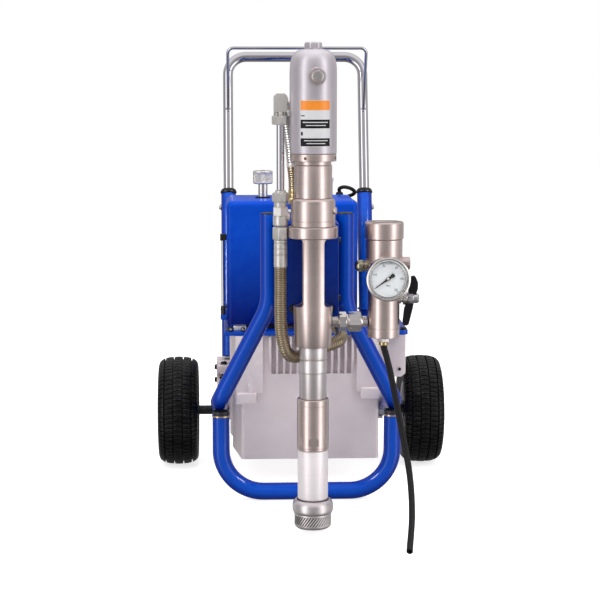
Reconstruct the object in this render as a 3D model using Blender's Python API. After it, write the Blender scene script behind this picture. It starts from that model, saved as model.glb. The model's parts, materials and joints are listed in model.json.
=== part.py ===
"""Airless paint sprayer on a two-wheeled cart: a hydraulic reciprocating pump hung in
front of a bent-tube frame, an outlet filter with a gauge and a drain valve, and an
electric motor that drives a hydraulic pump over an oil tank.

Frame: metres, +Z up. The origin is on the floor, under the middle of the front foot
loop. +X is to the right for someone facing the pump, +Y runs from the pump to the
handle. Helper functions take millimetres."""

import math

import bmesh
import bpy
from mathutils import Matrix, Vector

for old in list(bpy.data.objects):
    bpy.data.objects.remove(old, do_unlink=True)

MM = 0.001
SIDES = 12  # sides of a round section
FINE = 16  # sides of the larger round sections
FLAT = math.cos(math.pi / SIDES)  # a facet's distance from the centre, over the radius
GAP = 0.4  # clearance between touching pieces

# --- driving dimensions, mm -------------------------------------------------------
TUBE_R = 19.0  # frame tube, 38 mm outside diameter
FLOOR_TUBE_Z = TUBE_R * FLAT  # centre height of a tube that lies on a flat facet

AXLE_Y, AXLE_Z, AXLE_R = 362.0, 130.0, 11.0
WHEEL_X, TYRE_R, TYRE_W = 293.0, 130.0, 95.0

FRONT_X, FRONT_TOP_Z, FRONT_BEND_Z = 83.0, 634.0, 446.0
SIDE_X, SIDE_Z, SIDE_END_Y, SIDE_END_Z = 193.0, 222.0, 334.4, 138.0
FOOT_X, FOOT_TOP_Z, FOOT_BEND_R = 189.0, 193.0, 94.0

LEAN = math.radians(15.0)  # the uprights and the handle lean back
UPRIGHT_X, UPRIGHT_Y0, UPRIGHT_Z0, UPRIGHT_TOP_Z = 170.0, 431.5, 249.0, 641.0
HANDLE_X, HANDLE_R, HANDLE_TOP_Z, HANDLE_LOW_Z = 170.0, 12.5, 983.0, 462.0

PUMP_Y = -258.0  # axis of the hydraulic motor and the paint pump, at x = 0
FILTER_X, FILTER_Y = 145.0, -238.0
FIT_X, FIT_Y = -65.0, -248.0  # pressure line beside the pump

TANK_Y0, TANK_Y1, TANK_Z0, TANK_Z1 = 124.0, 338.0, 62.0, 349.5
PLATE_Z0, PLATE_Z1 = 350.0, 360.0
SHROUD = ((-175.0, 142.0, 372.0), (123.0, 360.0, 652.0))
MOTOR_X, MOTOR_Z, MOTOR_R = 35.0, 462.0, 80.0
DRIVE_X, DRIVE_Z = -97.0, 455.0  # hydraulic pump's shaft
BELT_Y0, BELT_Y1 = 166.0, 184.0
KNOB_X, KNOB_Y = -90.0, 262.0


# --- materials --------------------------------------------------------------------
def material(name, colour, rough, metal):
    m = bpy.data.materials.new(name)
    m.use_nodes = True
    b = m.node_tree.nodes["Principled BSDF"]
    b.inputs["Base Color"].default_value = (*colour, 1.0)
    b.inputs["Roughness"].default_value = rough
    b.inputs["Metallic"].default_value = metal
    return m


BLUE = material("blue_paint", (0.006, 0.035, 0.33), 0.25, 0.0)
STEEL = material("stainless_steel", (0.46, 0.41, 0.38), 0.32, 1.0)
SILVER = material("silver_paint", (0.56, 0.54, 0.55), 0.35, 0.7)
CAST = material("tank_casting", (0.52, 0.48, 0.50), 0.5, 0.3)
CHROME = material("chrome", (0.75, 0.74, 0.76), 0.08, 1.0)
ALLOY = material("machined_aluminium", (0.72, 0.70, 0.69), 0.3, 1.0)
DARK = material("dark_iron", (0.08, 0.08, 0.085), 0.55, 0.6)
BLACK = material("black_plastic", (0.012, 0.012, 0.013), 0.45, 0.0)
RUBBER = material("tyre_rubber", (0.018, 0.017, 0.018), 0.8, 0.0)
HOSE = material("braided_hose", (0.30, 0.21, 0.10), 0.4, 0.6)
BRASS = material("brass", (0.55, 0.42, 0.18), 0.3, 1.0)
DIAL = material("dial_white", (0.82, 0.82, 0.86), 0.3, 0.0)


# --- mesh helpers -----------------------------------------------------------------
def add(name, bm, mat, place=None, smooth=35.0):
    """Closes a bmesh into an object; place is the object's origin in mm."""
    origin = Vector(place or (0.0, 0.0, 0.0)) * MM
    bmesh.ops.remove_doubles(bm, verts=bm.verts, dist=1e-6)
    bmesh.ops.recalc_face_normals(bm, faces=bm.faces)
    bmesh.ops.translate(bm, verts=bm.verts, vec=-origin)
    me = bpy.data.meshes.new(name)
    bm.to_mesh(me)
    bm.free()
    me.materials.append(mat)
    me.shade_smooth()
    me.set_sharp_from_angle(angle=math.radians(smooth))
    ob = bpy.data.objects.new(name, me)
    ob.location = origin
    bpy.context.scene.collection.objects.link(ob)
    return ob


AXES = {
    "Z": Matrix.Identity(3),
    "Y": Matrix(((1, 0, 0), (0, 0, 1), (0, 1, 0))),  # profile z runs along +Y
    "X": Matrix(((0, 0, 1), (1, 0, 0), (0, 1, 0))),  # profile z runs along +X
}


def turned(bm, profile, centre, axis="Z", sides=SIDES, phase=0.5, ring=False):
    """Adds a turned solid: profile is a list of (radius, height) from end to end, or
    a closed outline when ring is true."""
    turn, c = AXES[axis], Vector(centre)
    rows = []
    for r, h in profile:
        if r < 1e-6:
            rows.append([bm.verts.new((c + turn @ Vector((0, 0, h))) * MM)])
        else:
            rows.append([
                bm.verts.new((c + turn @ Vector((
                    r * math.cos((k + phase) * 2 * math.pi / sides),
                    r * math.sin((k + phase) * 2 * math.pi / sides), h))) * MM)
                for k in range(sides)])
    if ring:
        rows.append(rows[0])
    for a, b in zip(rows, rows[1:]):
        for k in range(sides):
            j = (k + 1) % sides
            quad = [a[k % len(a)], a[j % len(a)], b[j % len(b)], b[k % len(b)]]
            quad = list(dict.fromkeys(quad))
            if len(quad) > 2:
                bm.faces.new(quad)
    if not ring:
        for row in (rows[0], rows[-1]):
            if len(row) > 1:
                bm.faces.new(row)
    return bm


def lathe(name, profile, centre, mat, axis="Z", sides=SIDES, phase=0.5, ring=False, place=None):
    return add(name, turned(bmesh.new(), profile, centre, axis, sides, phase, ring), mat, place)


def hollow(outer, inner):
    """A closed outline from an outer wall, bottom to top, and an inner wall, bottom to top."""
    return list(outer) + list(reversed(inner))


def block(bm, lo, hi):
    (x0, y0, z0), (x1, y1, z1) = lo, hi
    v = [bm.verts.new(Vector(p) * MM) for p in (
        (x0, y0, z0), (x1, y0, z0), (x1, y1, z0), (x0, y1, z0),
        (x0, y0, z1), (x1, y0, z1), (x1, y1, z1), (x0, y1, z1))]
    for f in ((0, 3, 2, 1), (4, 5, 6, 7), (0, 1, 5, 4), (1, 2, 6, 5), (2, 3, 7, 6), (3, 0, 4, 7)):
        bm.faces.new([v[i] for i in f])
    return bm


def prism(bm, outline, low, high, axis="Z"):
    """Extrudes an outline. axis Z: points are (x, y); Y: (x, z); X: (y, z)."""
    def at(p, h):
        a, b = p
        return Vector({"Z": (a, b, h), "Y": (a, h, b), "X": (h, a, b)}[axis]) * MM
    lo = [bm.verts.new(at(p, low)) for p in outline]
    hi = [bm.verts.new(at(p, high)) for p in outline]
    bm.faces.new(lo)
    bm.faces.new(hi)
    n = len(outline)
    for i in range(n):
        bm.faces.new([lo[i], lo[(i + 1) % n], hi[(i + 1) % n], hi[i]])
    return bm


def rounded(points, radii, steps=4):
    """Turns a polyline into a path whose corners are arcs of the given radii."""
    pts = [Vector(p) for p in points]
    path = [pts[0]]
    for i in range(1, len(pts) - 1):
        a, b, c = pts[i - 1], pts[i], pts[i + 1]
        u, w = (a - b).normalized(), (c - b).normalized()
        half = u.angle(w) / 2
        r = radii[i - 1]
        cut = r / math.tan(half)
        mid = b + (u + w).normalized() * (r / math.sin(half))
        start, end = b + u * cut - mid, b + w * cut - mid
        swing = start.angle(end)
        across = start.cross(end).normalized()
        for k in range(steps + 1):
            path.append(mid + Matrix.Rotation(swing * k / steps, 3, across) @ start)
    path.append(pts[-1])
    return path


def spline(points, steps=3):
    """A Catmull-Rom curve through the points."""
    p = [Vector(q) for q in points]
    p = [2 * p[0] - p[1]] + p + [2 * p[-1] - p[-2]]
    out = []
    for i in range(1, len(p) - 2):
        for k in range(steps):
            t = k / steps
            out.append(0.5 * ((2 * p[i]) + (p[i + 1] - p[i - 1]) * t
                       + (2 * p[i - 1] - 5 * p[i] + 4 * p[i + 1] - p[i + 2]) * t * t
                       + (3 * p[i] - p[i - 1] - 3 * p[i + 1] + p[i + 2]) * t ** 3))
    out.append(p[-2])
    return out


def swept(bm, path, radius, inner=None, sides=SIDES, side_ref=(0, 1, 0)):
    """Sweeps a round section along a path, with a radius or one radius for each point.
    The frame is carried along the path, so the section doesn't twist."""
    n = len(path)
    radii = radius if isinstance(radius, (list, tuple)) else [radius] * n
    tangents = []
    for i in range(n):
        a, b = path[max(i - 1, 0)], path[min(i + 1, n - 1)]
        k = 1
        while (b - a).length < 1e-6:
            k += 1
            a, b = path[max(i - k, 0)], path[min(i + k, n - 1)]
        if 0 < i < n - 1 and (path[i] - path[i - 1]).length > 1e-6 and (path[i + 1] - path[i]).length > 1e-6:
            b = (path[i + 1] - path[i]).normalized()
            a = -(path[i] - path[i - 1]).normalized()
        tangents.append((b - a).normalized())
    u = Vector(side_ref)
    u = (u - tangents[0] * u.dot(tangents[0])).normalized()
    outer_rows, inner_rows = [], []
    for i in range(n):
        if i:
            u = (u - tangents[i] * u.dot(tangents[i])).normalized()
        w = tangents[i].cross(u)

        def ring(r):
            return [bm.verts.new((path[i] + (u * math.cos((k + 0.5) * 2 * math.pi / sides)
                    + w * math.sin((k + 0.5) * 2 * math.pi / sides)) * r) * MM) for k in range(sides)]
        outer_rows.append(ring(radii[i]))
        if inner:
            inner_rows.append(ring(inner))

    def skin(rows):
        for a, b in zip(rows, rows[1:]):
            for k in range(sides):
                j = (k + 1) % sides
                bm.faces.new([a[k], a[j], b[j], b[k]])
    skin(outer_rows)
    if inner:
        skin(inner_rows)
        for o, i_ in ((outer_rows[0], inner_rows[0]), (outer_rows[-1], inner_rows[-1])):
            for k in range(sides):
                j = (k + 1) % sides
                bm.faces.new([o[k], o[j], i_[j], i_[k]])
    else:
        bm.faces.new(outer_rows[0])
        bm.faces.new(outer_rows[-1])
    return bm


def joined(target, bm, operation="UNION", mat=None):
    """Unites the target with a body, or cuts it, with a Boolean modifier. The body
    stays in the scene as a wire guide."""
    tool = add(target.name + "_tool", bm, mat or target.data.materials[0])
    tool.hide_render = True
    tool.display_type = "WIRE"
    mod = target.modifiers.new(operation.lower(), "BOOLEAN")
    mod.operation = operation
    mod.object = tool
    mod.solver = "EXACT"
    return target


def lean_point(x, z, forward=0.0):
    """A point on the uprights' leaning plane at height z."""
    return Vector((x, UPRIGHT_Y0 + (z - UPRIGHT_Z0) * math.tan(LEAN) + forward, z))


# --- cart frame -------------------------------------------------------------------
for side, s in (("left", -1.0), ("right", 1.0)):
    # One bent tube a side: up beside the pump bracket, out and down, then back to the axle lug.
    path = rounded(
        [(s * FRONT_X, 0, FRONT_TOP_Z), (s * FRONT_X, 0, FRONT_BEND_Z - 12),
         (s * SIDE_X, 0, SIDE_Z), (s * SIDE_X, SIDE_END_Y, SIDE_END_Z)], [110.0, 30.0])
    add("frame_tube_" + side, swept(bmesh.new(), path, TUBE_R, inner=16.0), BLUE)

    # Lug: carries the axle, the end of the side tube and the foot of the upright.
    outline = [(340, 108), (390, 108), (474, 185), (474, 243), (398.6, 243),
               (398.6, 200), (340, 165)]
    lug = add("axle_lug_" + side, prism(bmesh.new(), outline, s * 167, s * 201, "X"), CAST)
    joined(lug, turned(bmesh.new(), [(12.2, 140 * s), (12.2, 230 * s)] if s > 0 else [(12.2, -230), (12.2, -140)],
                       (0, AXLE_Y, AXLE_Z), "X"), "DIFFERENCE")

    # Upright: a leaning sleeve that the handle's leg slides in.
    low, top = lean_point(s * UPRIGHT_X, UPRIGHT_Z0 + 1), lean_point(s * UPRIGHT_X, UPRIGHT_TOP_Z)
    add("upright_" + side, swept(bmesh.new(), [low, top], 18.5, inner=15.0, side_ref=(1, 0, 0)), BLUE)

    # Wheel: the tyre is a ring on a rim that turns on the axle.
    centre = (s * WHEEL_X, AXLE_Y, AXLE_Z)
    h = TYRE_W / 2
    tyre = hollow([(70, -36), (100, -h), (119, -h + 4), (128, -31), (TYRE_R, 0), (128, 31), (119, h - 4), (100, h), (70, 36)],
                  [(60.5, -33), (60.5, 33)])
    lathe("tyre_" + side, tyre, centre, RUBBER, "X", 24, 0.0, True, centre)
    rim = hollow([(20, -38), (20, -12), (54, -12), (54, -37), (60, -37), (60, 37), (54, 37), (54, -2), (20, -2), (20, 40)],
                 [(12.6, -38), (12.6, 40)])
    lathe("rim_" + side, rim, centre, SILVER, "X", FINE, 0.5, True, centre)

lathe("axle", [(AXLE_R, -336), (AXLE_R, 336)], (0, AXLE_Y, AXLE_Z), DARK, "X")

# Foot loop: a U of tube that the cart rests on.
loop = rounded([(-FOOT_X, 0, FOOT_TOP_Z), (-FOOT_X, 0, FLOOR_TUBE_Z), (FOOT_X, 0, FLOOR_TUBE_Z), (FOOT_X, 0, FOOT_TOP_Z)],
               [FOOT_BEND_R, FOOT_BEND_R], steps=5)
add("foot_loop", swept(bmesh.new(), loop, TUBE_R), BLUE)

# Base plate between the uprights, over the tank, with a hole for the suction pipe.
base = add("base_plate", block(bmesh.new(), (-182, 112, PLATE_Z0), (236, 438, PLATE_Z1)), BLUE)
joined(base, turned(bmesh.new(), [(14, 330), (14, 380)], (DRIVE_X, 270, 0)), "DIFFERENCE")

# Pump bracket: a folded channel between the front tubes, with a saddle for the yoke.
channel = [(-63.6, 5), (-63.6, -5), (-56, -5), (-56, -203), (56, -203), (56, -5), (63.6, -5), (63.6, 5),
           (50, 5), (50, -197), (-50, -197), (-50, 5)]
bracket = add("pump_bracket", prism(bmesh.new(), channel, 430, 630), BLUE)
joined(bracket, block(bmesh.new(), (-18, -217.0, 515), (18, -200, 598)))

# --- oil tank ---------------------------------------------------------------------
plan = [(-143, TANK_Y0), (171, TANK_Y0), (171, TANK_Y1), (-163, TANK_Y1), (-163, TANK_Y0 + 130)]
tank = add("oil_tank", prism(bmesh.new(), plan, TANK_Z0, TANK_Z1), CAST)
shoulder = bmesh.new()
prism(shoulder, [(165, 244), (226, 244), (236, 252), (236, TANK_Z1), (165, TANK_Z1)], 165, 330, "Y")
joined(tank, shoulder)
pads = bmesh.new()
prism(pads, [(-156, 193), (-110, 193), (-110, 219), (-94, 219), (-94, TANK_Z1), (-156, TANK_Z1)], 112, 130, "Y")
joined(tank, pads)
pads = bmesh.new()
prism(pads, [(129, 205), (170, 205), (170, TANK_Z1), (119, TANK_Z1), (119, 220), (129, 220)], 112, 130, "Y")
joined(tank, pads)
joined(tank, block(bmesh.new(), (-78, 114, 262), (112, 130, TANK_Z1)))
joined(tank, block(bmesh.new(), (-133, 134, 72), (161, 328, 400)), "DIFFERENCE")

# --- drive under the shroud -------------------------------------------------------
(sx0, sy0, sz0), (sx1, sy1, sz1) = SHROUD
hood = block(bmesh.new(), SHROUD[0], SHROUD[1])
edges = [e for e in hood.edges
         if (lambda a, b: (abs(a.z - b.z) > 0.1 and a.y < 0.2) or (a.z > 0.6 and b.z > 0.6 and not (a.y > 0.3 and b.y > 0.3)))(e.verts[0].co, e.verts[1].co)]
bmesh.ops.bevel(hood, geom=edges, offset=0.009, segments=2, profile=0.5, affect="EDGES")
shroud = add("drive_shroud", hood, BLUE)
joined(shroud, block(bmesh.new(), (sx0 + 4, sy0 + 4, 300), (sx1 - 4, 420, sz1 - 4)), "DIFFERENCE")
joined(shroud, turned(bmesh.new(), [(14.5, 620), (14.5, 680)], (KNOB_X, KNOB_Y, 0)), "DIFFERENCE")

motor_c = (MOTOR_X, 0, MOTOR_Z)
shell = hollow([(30, 222), (72, 228), (MOTOR_R, 240), (MOTOR_R, 452), (40, 458)],
               [(12, 222), (12, 232), (66, 240), (66, 442), (12, 448), (12, 458)])
housing = lathe("motor_housing", shell, motor_c, CAST, "Y", FINE, 0.5, True)
foot = bmesh.new()
prism(foot, [(MOTOR_X - 72, PLATE_Z1 + GAP), (MOTOR_X + 72, PLATE_Z1 + GAP), (MOTOR_X + 66, 374), (MOTOR_X + 40, 396),
             (MOTOR_X - 40, 396), (MOTOR_X - 66, 374)], 262, 428, "Y")
joined(housing, foot)
lathe("fan_cover", hollow([(79, 460), (79, 505), (70, 515)], [(74, 460), (74, 503), (20, 510), (20, 515)]),
      motor_c, BLACK, "Y", FINE, 0.5, True)
lathe("motor_rotor", [(9.5, 160), (9.5, 165), (32, 165), (32, 185), (9.5, 185), (9.5, 262), (58, 262), (58, 420), (9.5, 420), (9.5, 490)],
      motor_c, STEEL, "Y", SIDES, 0.5, False, motor_c)
fan = turned(bmesh.new(), hollow([(24, 470), (24, 492)], [(11.5, 470), (11.5, 492)]), motor_c, "Y", SIDES, 0.5, True)
fan = add("cooling_fan", fan, BLACK, motor_c)
for k in range(3):
    blade = bmesh.new()
    block(blade, (-66, -2, 472), (66, 2, 490))
    blade.transform(Matrix(((1, 0, 0, 0), (0, 0, 1, 0), (0, 1, 0, 0), (0, 0, 0, 1))))
    blade.transform(Matrix.Rotation(math.pi * k / 3, 4, "Y"))
    blade.transform(Matrix.Translation(Vector(motor_c) * MM))
    bmesh.ops.recalc_face_normals(blade, faces=blade.faces)
    joined(fan, blade)
joined(fan, turned(bmesh.new(), [(11.5, 460), (11.5, 500)], motor_c, "Y"), "DIFFERENCE")

# Hydraulic pump with its pressure control valve and suction pipe.
pump_c = (DRIVE_X, 0, DRIVE_Z)
body = hollow([(30, 212), (42, 218), (42, 318), (34, 326)], [(10.8, 212), (10.8, 262), (0.0, 262)])
hyd = add("hydraulic_pump", turned(bmesh.new(), [(10.8, 262), (10.8, 212), (30, 212), (42, 218), (42, 318), (34, 326)], pump_c, "Y"), CAST)
joined(hyd, block(bmesh.new(), (DRIVE_X - 38, 226, PLATE_Z1 + GAP), (DRIVE_X + 38, 314, 440)))
joined(hyd, turned(bmesh.new(), [(17, 480), (17, 600), (11, 606), (11, 683.5)], (KNOB_X, KNOB_Y, 0)))
joined(hyd, turned(bmesh.new(), [(10, 104), (10, 380)], (DRIVE_X, 270, 0)))
lathe("pump_pulley", [(9, 160), (9, 166), (48, 166), (48, 184), (9, 184), (9, 258)], pump_c, STEEL, "Y", SIDES, 0.5, False, pump_c)

# Drive belt: a band around both pulleys, clear of them.
gap_v = Vector((MOTOR_X - DRIVE_X, MOTOR_Z - DRIVE_Z))
span, tilt = gap_v.length, math.atan2(gap_v.y, gap_v.x)
lean_b = math.acos((48.0 - 32.0) / span)


def belt_outline(extra):
    pts = []
    for k in range(9):
        t = tilt + lean_b + (2 * math.pi - 2 * lean_b) * k / 8
        pts.append((DRIVE_X + (48 + extra) * math.cos(t), DRIVE_Z + (48 + extra) * math.sin(t)))
    for k in range(7):
        t = tilt - lean_b + 2 * lean_b * k / 6
        pts.append((MOTOR_X + (32 + extra) * math.cos(t), MOTOR_Z + (32 + extra) * math.sin(t)))
    return pts


belt = add("drive_belt", prism(bmesh.new(), belt_outline(10.0), BELT_Y0, BELT_Y1, "Y"), RUBBER)
joined(belt, prism(bmesh.new(), belt_outline(3.5), BELT_Y0 - 10, BELT_Y1 + 10, "Y"), "DIFFERENCE")

lathe("pressure_knob", [(0, 684), (23, 684), (23, 713), (21.5, 715), (0, 715)], (KNOB_X, KNOB_Y, 0), ALLOY, "Z", FINE, 0.5, False, (KNOB_X, KNOB_Y, 684))

box = add("terminal_box", block(bmesh.new(), (62, 372, 545), (138, 448, 634)), BLACK)
joined(box, turned(bmesh.new(), [(10.5, 628), (10.5, 640), (8.5, 644), (8.5, 656)], (98, 398, 0)))
lathe("switch_lever", [(0, 637), (4, 637), (2.4, 643), (2.4, 678), (4.2, 684), (0, 691)], (80, 398, 0), BLACK, "Z", 8, 0.5, False, (80, 398, 640))
cable = spline([(98, 398, 657.4), (98, 397, 664), (108, 393, 668), (124, 386, 665), (134, 384, 657), (130, 396, 650), (121, 412, 645)], 3)
add("power_cable", swept(bmesh.new(), cable, 4.5, sides=8), BLACK)

# --- hydraulic motor, yoke and paint pump -----------------------------------------
P = (0, PUMP_Y, 0)
lathe("top_plug", [(0, 962), (7.5, 962), (7.5, 979), (18.7, 979), (18.7, 991), (16, 994), (0, 994)], P, STEEL)
lathe("valve_housing", hollow(
    [(47, 775), (47, 930), (45, 943), (40, 955), (32, 965), (24, 972), (20, 978.4)],
    [(38, 775), (38, 935), (22, 958), (8.2, 958), (8.2, 978.4)]), P, SILVER, "Z", FINE, 0.5, True)
lathe("side_plug", [(16, -309), (16, -312), (11.5, -314), (11.5, -325), (9, -328)], (5, 0, 927), STEEL, "Y")
lathe("lock_ring", hollow([(46.5, 760), (46.5, 774.6)], [(36.8, 760), (36.8, 774.6)]), P, STEEL, "Z", FINE, 0.5, True)
lathe("hydraulic_cylinder", hollow([(38, 686.4), (38, 752), (36.2, 754), (36.2, 790)], [(30, 686.4), (30, 790)]), P, STEEL, "Z", FINE, 0.5, True)
head = lathe("lower_head", hollow([(44.6, 630), (44.6, 681), (41, 686)], [(13.4, 630), (13.4, 686)]), P, STEEL, "Z", FINE, 0.5, True)
yoke = lathe("pump_yoke", hollow(
    [(37.4, 386.8), (39.5, 467), (39.5, 600), (49.6, 607), (49.6, 629.5)],
    [(25.2, 386.8), (25.2, 450), (27, 466), (27, 601), (15, 603), (15, 629.5)]), P, STEEL, "Z", FINE, 0.5, True)
for s in (-1, 1):
    joined(yoke, block(bmesh.new(), (min(20.75 * s, 70 * s), PUMP_Y - 60, 469), (max(20.75 * s, 70 * s), PUMP_Y + 60, 601)), "DIFFERENCE")
lathe("rod_packing", hollow([(24.6, 408), (24.6, 448)], [(14.6, 408), (14.6, 448)]), P, BLACK, "Z", SIDES, 0.5, True)

# The moving column, at mid stroke: piston and hollow rod, coupler, displacement rod.
PISTON_O = (0, PUMP_Y, 535)
lathe("hydraulic_piston", hollow([(12.6, 557.5), (12.6, 726), (28.8, 728), (28.8, 747), (16, 749)],
                                 [(5.5, 557.5), (5.5, 749)]), P, CHROME, "Z", SIDES, 0.5, True, PISTON_O)
lathe("rod_coupler", [(0, 513), (16.5, 513), (16.5, 557), (0, 557)], P, STEEL, "Z", SIDES, 0.5, False, PISTON_O)
lathe("displacement_rod", [(0, 236), (20, 238), (21.6, 244), (21.6, 262), (14, 266), (14, 512.5), (0, 512.5)], P, CHROME, "Z", SIDES, 0.5, False, PISTON_O)
lathe("trip_rod", [(0, 700), (3.2, 700), (3.2, 850), (22, 852), (22, 925), (10, 930), (0, 930)], P, STEEL, "Z", SIDES)

lathe("pump_cylinder", hollow(
    [(27.4, 279.8), (27.4, 333), (28.4, 334), (28.4, 358.6), (27, 359.2), (27, 360.2), (28.4, 360.8), (28.4, 386.2)],
    [(22.6, 279.8), (22.6, 386.2)]), P, STEEL, "Z", FINE, 0.5, True)
lathe("cylinder_sleeve", hollow([(32.4, 173.4), (32.4, 279.2)], [(23.6, 173.4), (23.6, 279.2)]), P, STEEL, "Z", FINE, 0.5, True)
lathe("foot_valve_body", hollow([(31, 69.4), (31, 173)], [(11, 69.4), (11, 84), (20, 92), (20, 173)]), P, ALLOY, "Z", FINE, 0.5, True)
lathe("inlet_ball", [(0, 90), (7.7, 92), (13.2, 97.6), (15.3, 105.3), (13.2, 113), (7.7, 118.6), (0, 120.6)], P, STEEL, "Z", SIDES, 0.5, False, (0, PUMP_Y, 105))
lathe("suction_strainer", hollow(
    [(38, 10), (38.8, 16), (38.8, 38), (42, 44), (42, 62), (38, 69)], [(33, 10), (33, 69)]), P, STEEL, "Z", FINE, 0.5, True)

# --- pressure line on the left ----------------------------------------------------
F = (FIT_X, FIT_Y, 0)
elbow = lathe("elbow_fitting", [(17, 832), (17, 855), (13.5, 857), (13.5, 888), (9, 894)], F, STEEL, "Z")
joined(elbow, turned(bmesh.new(), [(9.5, FIT_X + 6), (9.5, -49)], (0, FIT_Y, 878), "X"))
lathe("riser_tube", [(8, 702), (8, 831.5)], F, CHROME)
union = lathe("union_fitting", [(14, 630), (16, 632), (16, 667), (17, 669), (17, 697), (14, 701.4)], F, STEEL, "Z")
joined(union, turned(bmesh.new(), [(8.5, FIT_X + 8), (8.5, -46)], (0, FIT_Y, 648), "X"))

runs = [Vector((FIT_X, FIT_Y, z)) for z in (628, 602, 602, 546, 546, 500)]
runs += spline([(-65, -248, 455), (-63, -247, 410), (-52, -243, 370), (-28, -224, 359), (2, -208, 368), (34, -204, 378),
                (60, -186, 388), (62, -140, 400), (44, -70, 404), (28, 10, 404), (24, 90, 404), (24, 141, 404)], 2)
radii = [15.5, 15.5, 13.6, 13.6, 13.0, 13.0] + [13.0] * (len(runs) - 6)
add("pressure_hose", swept(bmesh.new(), runs, radii, sides=10), HOSE)

ret = [Vector(p) for p in ((-33, -181, 648), (-33, -181, 688), (-33, -181, 688), (-33, -181, 700))]
ret += spline([(-34, -183, 718), (-38, -186, 752), (-42, -188, 790), (-48, -190, 830), (-50, -192, 846)], 2)
ret += [Vector((-50, -192, 846)) + Vector((0, 0, 0.01)), Vector((-51, -194, 872)), Vector((-51, -195, 896))]
rr = [9, 9, 12.6, 12.6] + [12.6] * 9 + [14, 14, 14]
add("return_hose", swept(bmesh.new(), ret, rr, sides=10), HOSE)

# --- outlet fittings, filter, gauge, drain ----------------------------------------
lathe("outlet_fitting", [(12, 39.6), (12, 52), (18, 54), (20, 58), (20, 69), (16, 72), (21, 72), (21, 99), (19, 101), (11, 101), (11, 111.4)],
      (0, FILTER_Y, 433), STEEL, "X")
C = (FILTER_X, FILTER_Y, 0)
filt = lathe("filter_housing", hollow([(32.5, 401), (32.5, 552), (37.5, 554), (37.5, 602)],
                                      [(10, 401), (10, 412), (25, 414), (25, 602)]), C, STEEL, "Z", FINE, 0.5, True)
joined(filt, turned(bmesh.new(), [(12, 86), (12, 100), (9, 101), (9, 112)], (0, FILTER_Y, 547), "X"))
joined(filt, turned(bmesh.new(), [(13, 178), (13, 198)], (0, FILTER_Y, 552), "X"))
lathe("filter_cap", [(0, 585), (24.2, 585), (24.2, 602.4), (39.6, 602.4), (39.6, 634), (37, 637), (0, 637)], C, STEEL, "Z", FINE)
lathe("filter_element", hollow([(17, 416), (17, 584)], [(12, 416), (12, 584)]), C, STEEL, "Z", SIDES, 0.5, True)

G = (147, 0, 528)
case = [(0, -271.4), (8, -271.4), (8, -280), (36, -280), (36, -300), (41, -301), (41, -318), (36.5, -318), (36.5, -306), (0, -306)]
lathe("gauge_case", list(reversed(case)), G, STEEL, "Y", 20)
needle = prism(bmesh.new(), [(-30, -0.7), (-6, -1.6), (0, -3), (6, -1.6), (8, -3.6), (13, -3.6), (13, 3.6), (8, 3.6), (6, 1.6), (0, 3), (-6, 1.6), (-30, 0.7)], -310, -308.6, "Y")
needle.transform(Matrix.Rotation(math.radians(-36.0), 4, "Y"))
needle.transform(Matrix.Translation(Vector(G) * MM))
add("gauge_needle", needle, BLACK, G)

lathe("drain_valve", [(9, 177.9), (9, 180), (12, 181), (12, 189), (7, 190), (7, 193)], (0, FILTER_Y, 480), STEEL, "X")
LEVER = (194, FILTER_Y, 480)
lev = turned(bmesh.new(), [(11, 193.5), (11, 206), (8, 208)], (0, FILTER_Y, 480), "X")
lever = add("drain_lever", lev, BLACK, LEVER)
joined(lever, prism(bmesh.new(), [(184.6, 424), (198, 424), (206, 470), (214, 500), (214, 512), (209, 526), (202, 526), (195, 500), (194.5, 470)], FILTER_Y - 7, FILTER_Y + 7, "Y"))

dr = [Vector((FILTER_X, FILTER_Y, z)) for z in (400.6, 391, 391, 384)]
dr += spline([(147, -238, 376), (151, -238, 362), (163, -240, 312), (183, -250, 207), (196, -285, 125), (193, -360, 62), (178, -455, 13)], 3)
add("drain_tube", swept(bmesh.new(), dr, [14, 14, 7, 7] + [6.5] * (len(dr) - 4), sides=8), BLACK)

# --- handle -----------------------------------------------------------------------
low_l, low_r = lean_point(-HANDLE_X, HANDLE_LOW_Z), lean_point(HANDLE_X, HANDLE_LOW_Z)
top_l, top_r = lean_point(-HANDLE_X, HANDLE_TOP_Z), lean_point(HANDLE_X, HANDLE_TOP_Z)
path = rounded([low_l, top_l, top_r, low_r], [46, 46], steps=4)
add("handle_tube", swept(bmesh.new(), path, HANDLE_R, inner=10.5, sides=SIDES, side_ref=(1, 0, 0)), CHROME, (0, UPRIGHT_Y0 + (640 - UPRIGHT_Z0) * math.tan(LEAN), 640))
rack = []
for s in (-1, 1):
    rack.append([lean_point(s * HANDLE_X, 853, -17.2) + Vector((0, 0, 0)), Vector((s * HANDLE_X, 500, 1002))])
path = rounded([rack[0][0], rack[0][1], rack[1][1], rack[1][0]], [14, 14], steps=3)
add("hose_rack", swept(bmesh.new(), path, 3.9, sides=8, side_ref=(1, 0, 0)), CHROME, (0, UPRIGHT_Y0 + (640 - UPRIGHT_Z0) * math.tan(LEAN), 640))
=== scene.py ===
"""Looks of the airless paint sprayer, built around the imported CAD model.

Lengths inside the helper functions are millimetres in the row frame; meshes are
written in metres with their objects at the origin."""

import json
import math

import bmesh
import bpy
import numpy as np
from mathutils import Matrix, Vector

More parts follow.
